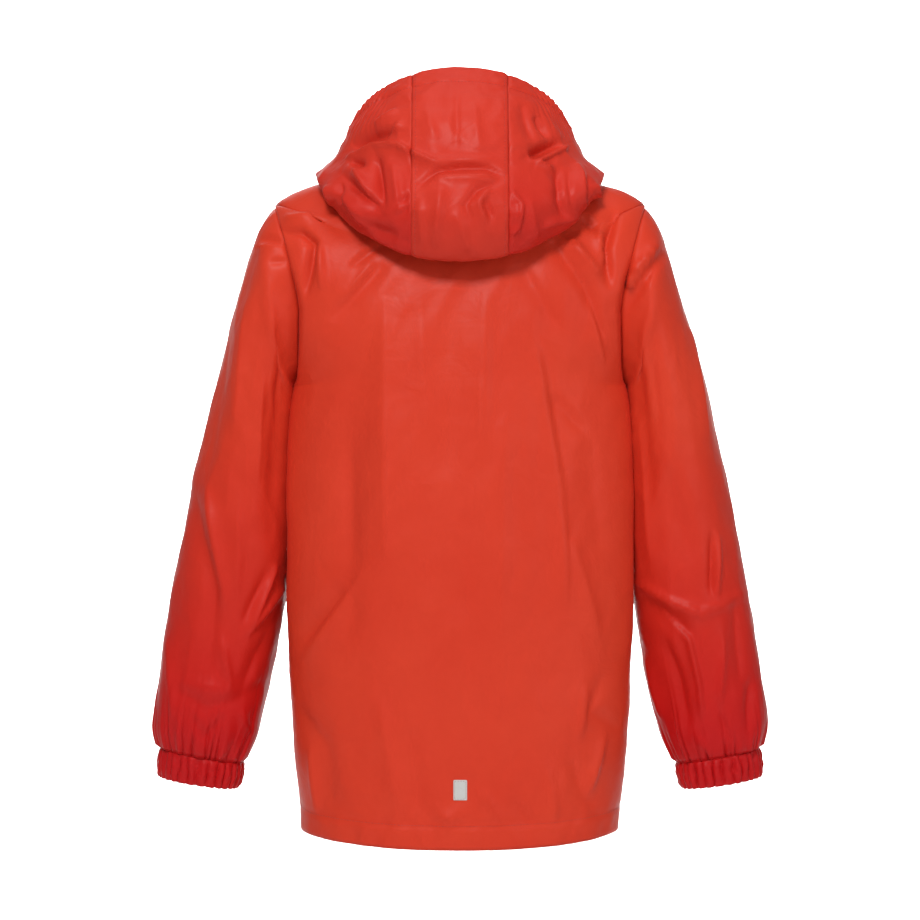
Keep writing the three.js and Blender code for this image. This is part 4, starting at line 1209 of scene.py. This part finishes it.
# Zip: tapes behind the front edges, with a coil sewn along each
zipParts = {
    "tape": {"columns": 8, "rows": 160, "size": (13, 582)},
    "tapeWidth": 14,
    "setBack": 1.7,
    "outerSetBack": 1.6,
    "innerEdge": 0.4,
    "spreadEdge": 1.7,
    "footZ": -580,
    "topZ": 2,
    "sliderZ": -10,
    "sliderLength": 12,
    "coilPitch": 1.6,
    "coilHalf": (1.3, 0.55, 0.45),
}
frontEdge = [bodyPoint(n / 120, -1, 0, 1) for n in range(121)]
hoodEdge = [hoodPoint(hood["backColumns"] + hood["frontColumns"], n / 60, 1) for n in range(1, 61)]
frontEdge += [p for p in hoodEdge if p.z > frontEdge[-1].z + 0.5]
edgeTable = []
for p in frontEdge:
    if not edgeTable or p.z > edgeTable[-1][0] + 1:
        edgeTable.append((p.z, p.y))
edgeDepth = column(edgeTable, 1)


def tapeEdge(z):
    z0, length = zipParts["sliderZ"], zipParts["sliderLength"]
    return mix(zipParts["innerEdge"], zipParts["spreadEdge"], smooth((z - z0 + length) / length))


def tapePlace(side):
    def place(across, along):
        z = mix(zipParts["footZ"], zipParts["topZ"], along)
        outwards = across if side > 0 else 1 - across
        y = edgeDepth(z) + zipParts["setBack"] + outwards * zipParts["outerSetBack"]
        return Vector((side * mix(tapeEdge(z), zipParts["tapeWidth"], outwards), y, z))

    return place


def noRelief(across, along, p):
    return 0.0


for sideName, side in bothSides:
    made = makeCloth(f"tape_{sideName}", zipParts["tape"], tapePlace(side), noRelief, zipTape, thickness=0.7)
    addPiece(made, f"zip_tape_{sideName}")

bm = bmesh.new()
count = int((zipParts["topZ"] - zipParts["footZ"]) / zipParts["coilPitch"])
for n in range(count):
    z = zipParts["footZ"] + (n + 0.5) * zipParts["coilPitch"]
    if abs(z - zipParts["sliderZ"]) < zipParts["sliderLength"] / 2 + 0.6:
        continue
    y = edgeDepth(z) + zipParts["setBack"] - 0.75
    for side in (1, -1):
        x = side * (tapeEdge(z) + 0.9)
        lift = side * zipParts["coilPitch"] / 4
        place = Matrix.Translation(Vector((x, y, z + lift)) / 1000)
        size = Matrix.Diagonal([half / 1000 for half in zipParts["coilHalf"]] + [1])
        addBead(bm, place @ size)
piece = makeObject("zip_coil", bm, coil)
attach(piece, "garment")

for node in ("zip_slider", "zip_pull"):
    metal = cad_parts[node]
    metal.data.materials.clear()
    metal.data.materials.append(zinc)

# The patch itself, sewn on near the hem
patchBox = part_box("reflective_patch")
middle = (Vector(patchBox[0]) + Vector(patchBox[1])) / 2
bm = bmesh.new()
bmesh.ops.create_cube(bm, size=1)
for v in bm.verts:
    v.co.x = middle.x + v.co.x * patch["width"] / 1000
    v.co.z = middle.z + v.co.z * patch["height"] / 1000
    v.co.y = middle.y + v.co.y * patch["thickness"] / 1000
corners = [e for e in bm.edges if abs(e.verts[0].co.y - e.verts[1].co.y) > 1e-5]
bmesh.ops.bevel(bm, geom=corners, offset=0.0009, segments=3, profile=0.5, affect="EDGES", material=-1)
rim = [e for e in bm.edges if len(e.link_faces) == 2 and e.calc_face_angle(0) > 1.2]
bmesh.ops.bevel(bm, geom=rim, offset=0.00015, segments=2, profile=0.5, affect="EDGES", material=-1)
piece = makeObject("patch_tape", bm, tape, smoothed=False)
addPiece(piece, "reflective_patch")

bm = bmesh.new()
half = Vector((patch["width"] / 2 - 1.1, 0, patch["height"] / 2 - 1.1)) / 1000
face = Vector((0, patch["thickness"] / 2000 + 0.0001, 0))
for n in range(patch["stitches"]):
    for side in (1, -1):
        share = 2 * (n + 0.5) / patch["stitches"] - 1
        upright = Matrix.Translation(middle + face + Vector((side * half.x, 0, share * half.z)))
        level = Matrix.Translation(middle + face + Vector((share * half.x, 0, side * half.z)))
        bar = Matrix.Diagonal((0.00016, 0.0002, 0.0007, 1))
        addBead(bm, upright @ bar)
        if n % 2:
            lying = Matrix.Diagonal((0.0007, 0.0002, 0.00016, 1))
            addBead(bm, level @ lying)
finishSewing(bm, "patch_stitches")

# Floor, light and camera
studio = {
    "floorZ": -1.35,
    "floorColour": "#FAFAF9",
    "worldStrength": 0.26,
    "cameraY": 2.6,
    "cameraZ": -0.252,
    "frameWidth": 0.828,
    "sensor": 36,
    "paperLength": 20,
    "paperHalfWidth": 12,
    "paperStartY": 6,
    "bendStart": 13,  # lengths along the paper, which runs back and turns up into a wall
    "bendEnd": 16.14,
    "bendRadius": 2,
}
bm = bmesh.new()
bmesh.ops.create_grid(bm, x_segments=2, y_segments=80, size=1)
bendY, bendRadius = studio["paperStartY"] - studio["bendStart"], studio["bendRadius"]
for v in bm.verts:
    reach = (v.co.y + 1) / 2 * studio["paperLength"]
    v.co.x *= studio["paperHalfWidth"]
    bend = (reach - studio["bendStart"]) / bendRadius
    if bend < 0:
        v.co.y, rise = studio["paperStartY"] - reach, 0
    elif reach < studio["bendEnd"]:
        v.co.y, rise = bendY - bendRadius * sin(bend), bendRadius * (1 - cos(bend))
    else:
        v.co.y, rise = bendY - bendRadius, bendRadius + reach - studio["bendEnd"]
    v.co.z = studio["floorZ"] + rise
paper = newMaterial("matt paper", Roughness=0.9, Base_Color=linear(studio["floorColour"]))[0]
floorPiece = makeObject("studio_floor", bm, paper)

# name, place, aim, size, power, and spread in degrees
softLights = [
    ("key", (0.5, 3.0, 1.8), (0, 0, -0.25), 0.8, 76, 180),
    ("fill", (-2.1, 2.3, 0.3), (0, 0, -0.3), 1.2, 13, 180),
    ("front", (0.4, -2.9, 1.5), (0, 0, -0.25), 1.8, 18, 180),
    ("top", (0, 0.4, 2.6), (0, 0, -0.2), 1.6, 16, 180),
    ("wall left", (2.4, -5.4, 1.0), (0.6, -9, 0.3), 1.6, 130, 110),
    ("wall right", (-2.4, -5.4, 1.0), (-0.6, -9, 0.3), 1.6, 130, 110),
    ("floor", (0, -5.2, 2.4), (0, -5.4, -1.3), 3, 120, 120),
]
for name, place, aim, size, power, opening in softLights:
    lamp = bpy.data.lights.new(name, "AREA")
    lamp.shape = "SQUARE"
    lamp.size = size
    lamp.energy = power
    lamp.spread = radians(opening)
    light = bpy.data.objects.new(name, lamp)
    light.location = place
    light.rotation_mode = "QUATERNION"
    light.rotation_quaternion = (Vector(aim) - Vector(place)).to_track_quat("-Z", "Y")
    bpy.context.scene.collection.objects.link(light)

world = bpy.data.worlds.new("studio")
world.use_nodes = True
world.node_tree.nodes["Background"].inputs["Color"].default_value = (1, 1, 1, 1)
world.node_tree.nodes["Background"].inputs["Strength"].default_value = studio["worldStrength"]
bpy.context.scene.world = world
bpy.context.scene.view_settings.view_transform = "Standard"

lens = bpy.data.cameras.new("camera")
lens.sensor_width = studio["sensor"]
lens.lens = studio["sensor"] * studio["cameraY"] / studio["frameWidth"]
camera = bpy.data.objects.new("camera", lens)
camera.location = (0, studio["cameraY"], studio["cameraZ"])
camera.rotation_euler = Euler((radians(90), 0, radians(180)))
bpy.context.scene.collection.objects.link(camera)
bpy.context.scene.camera = camera
print("studio made")
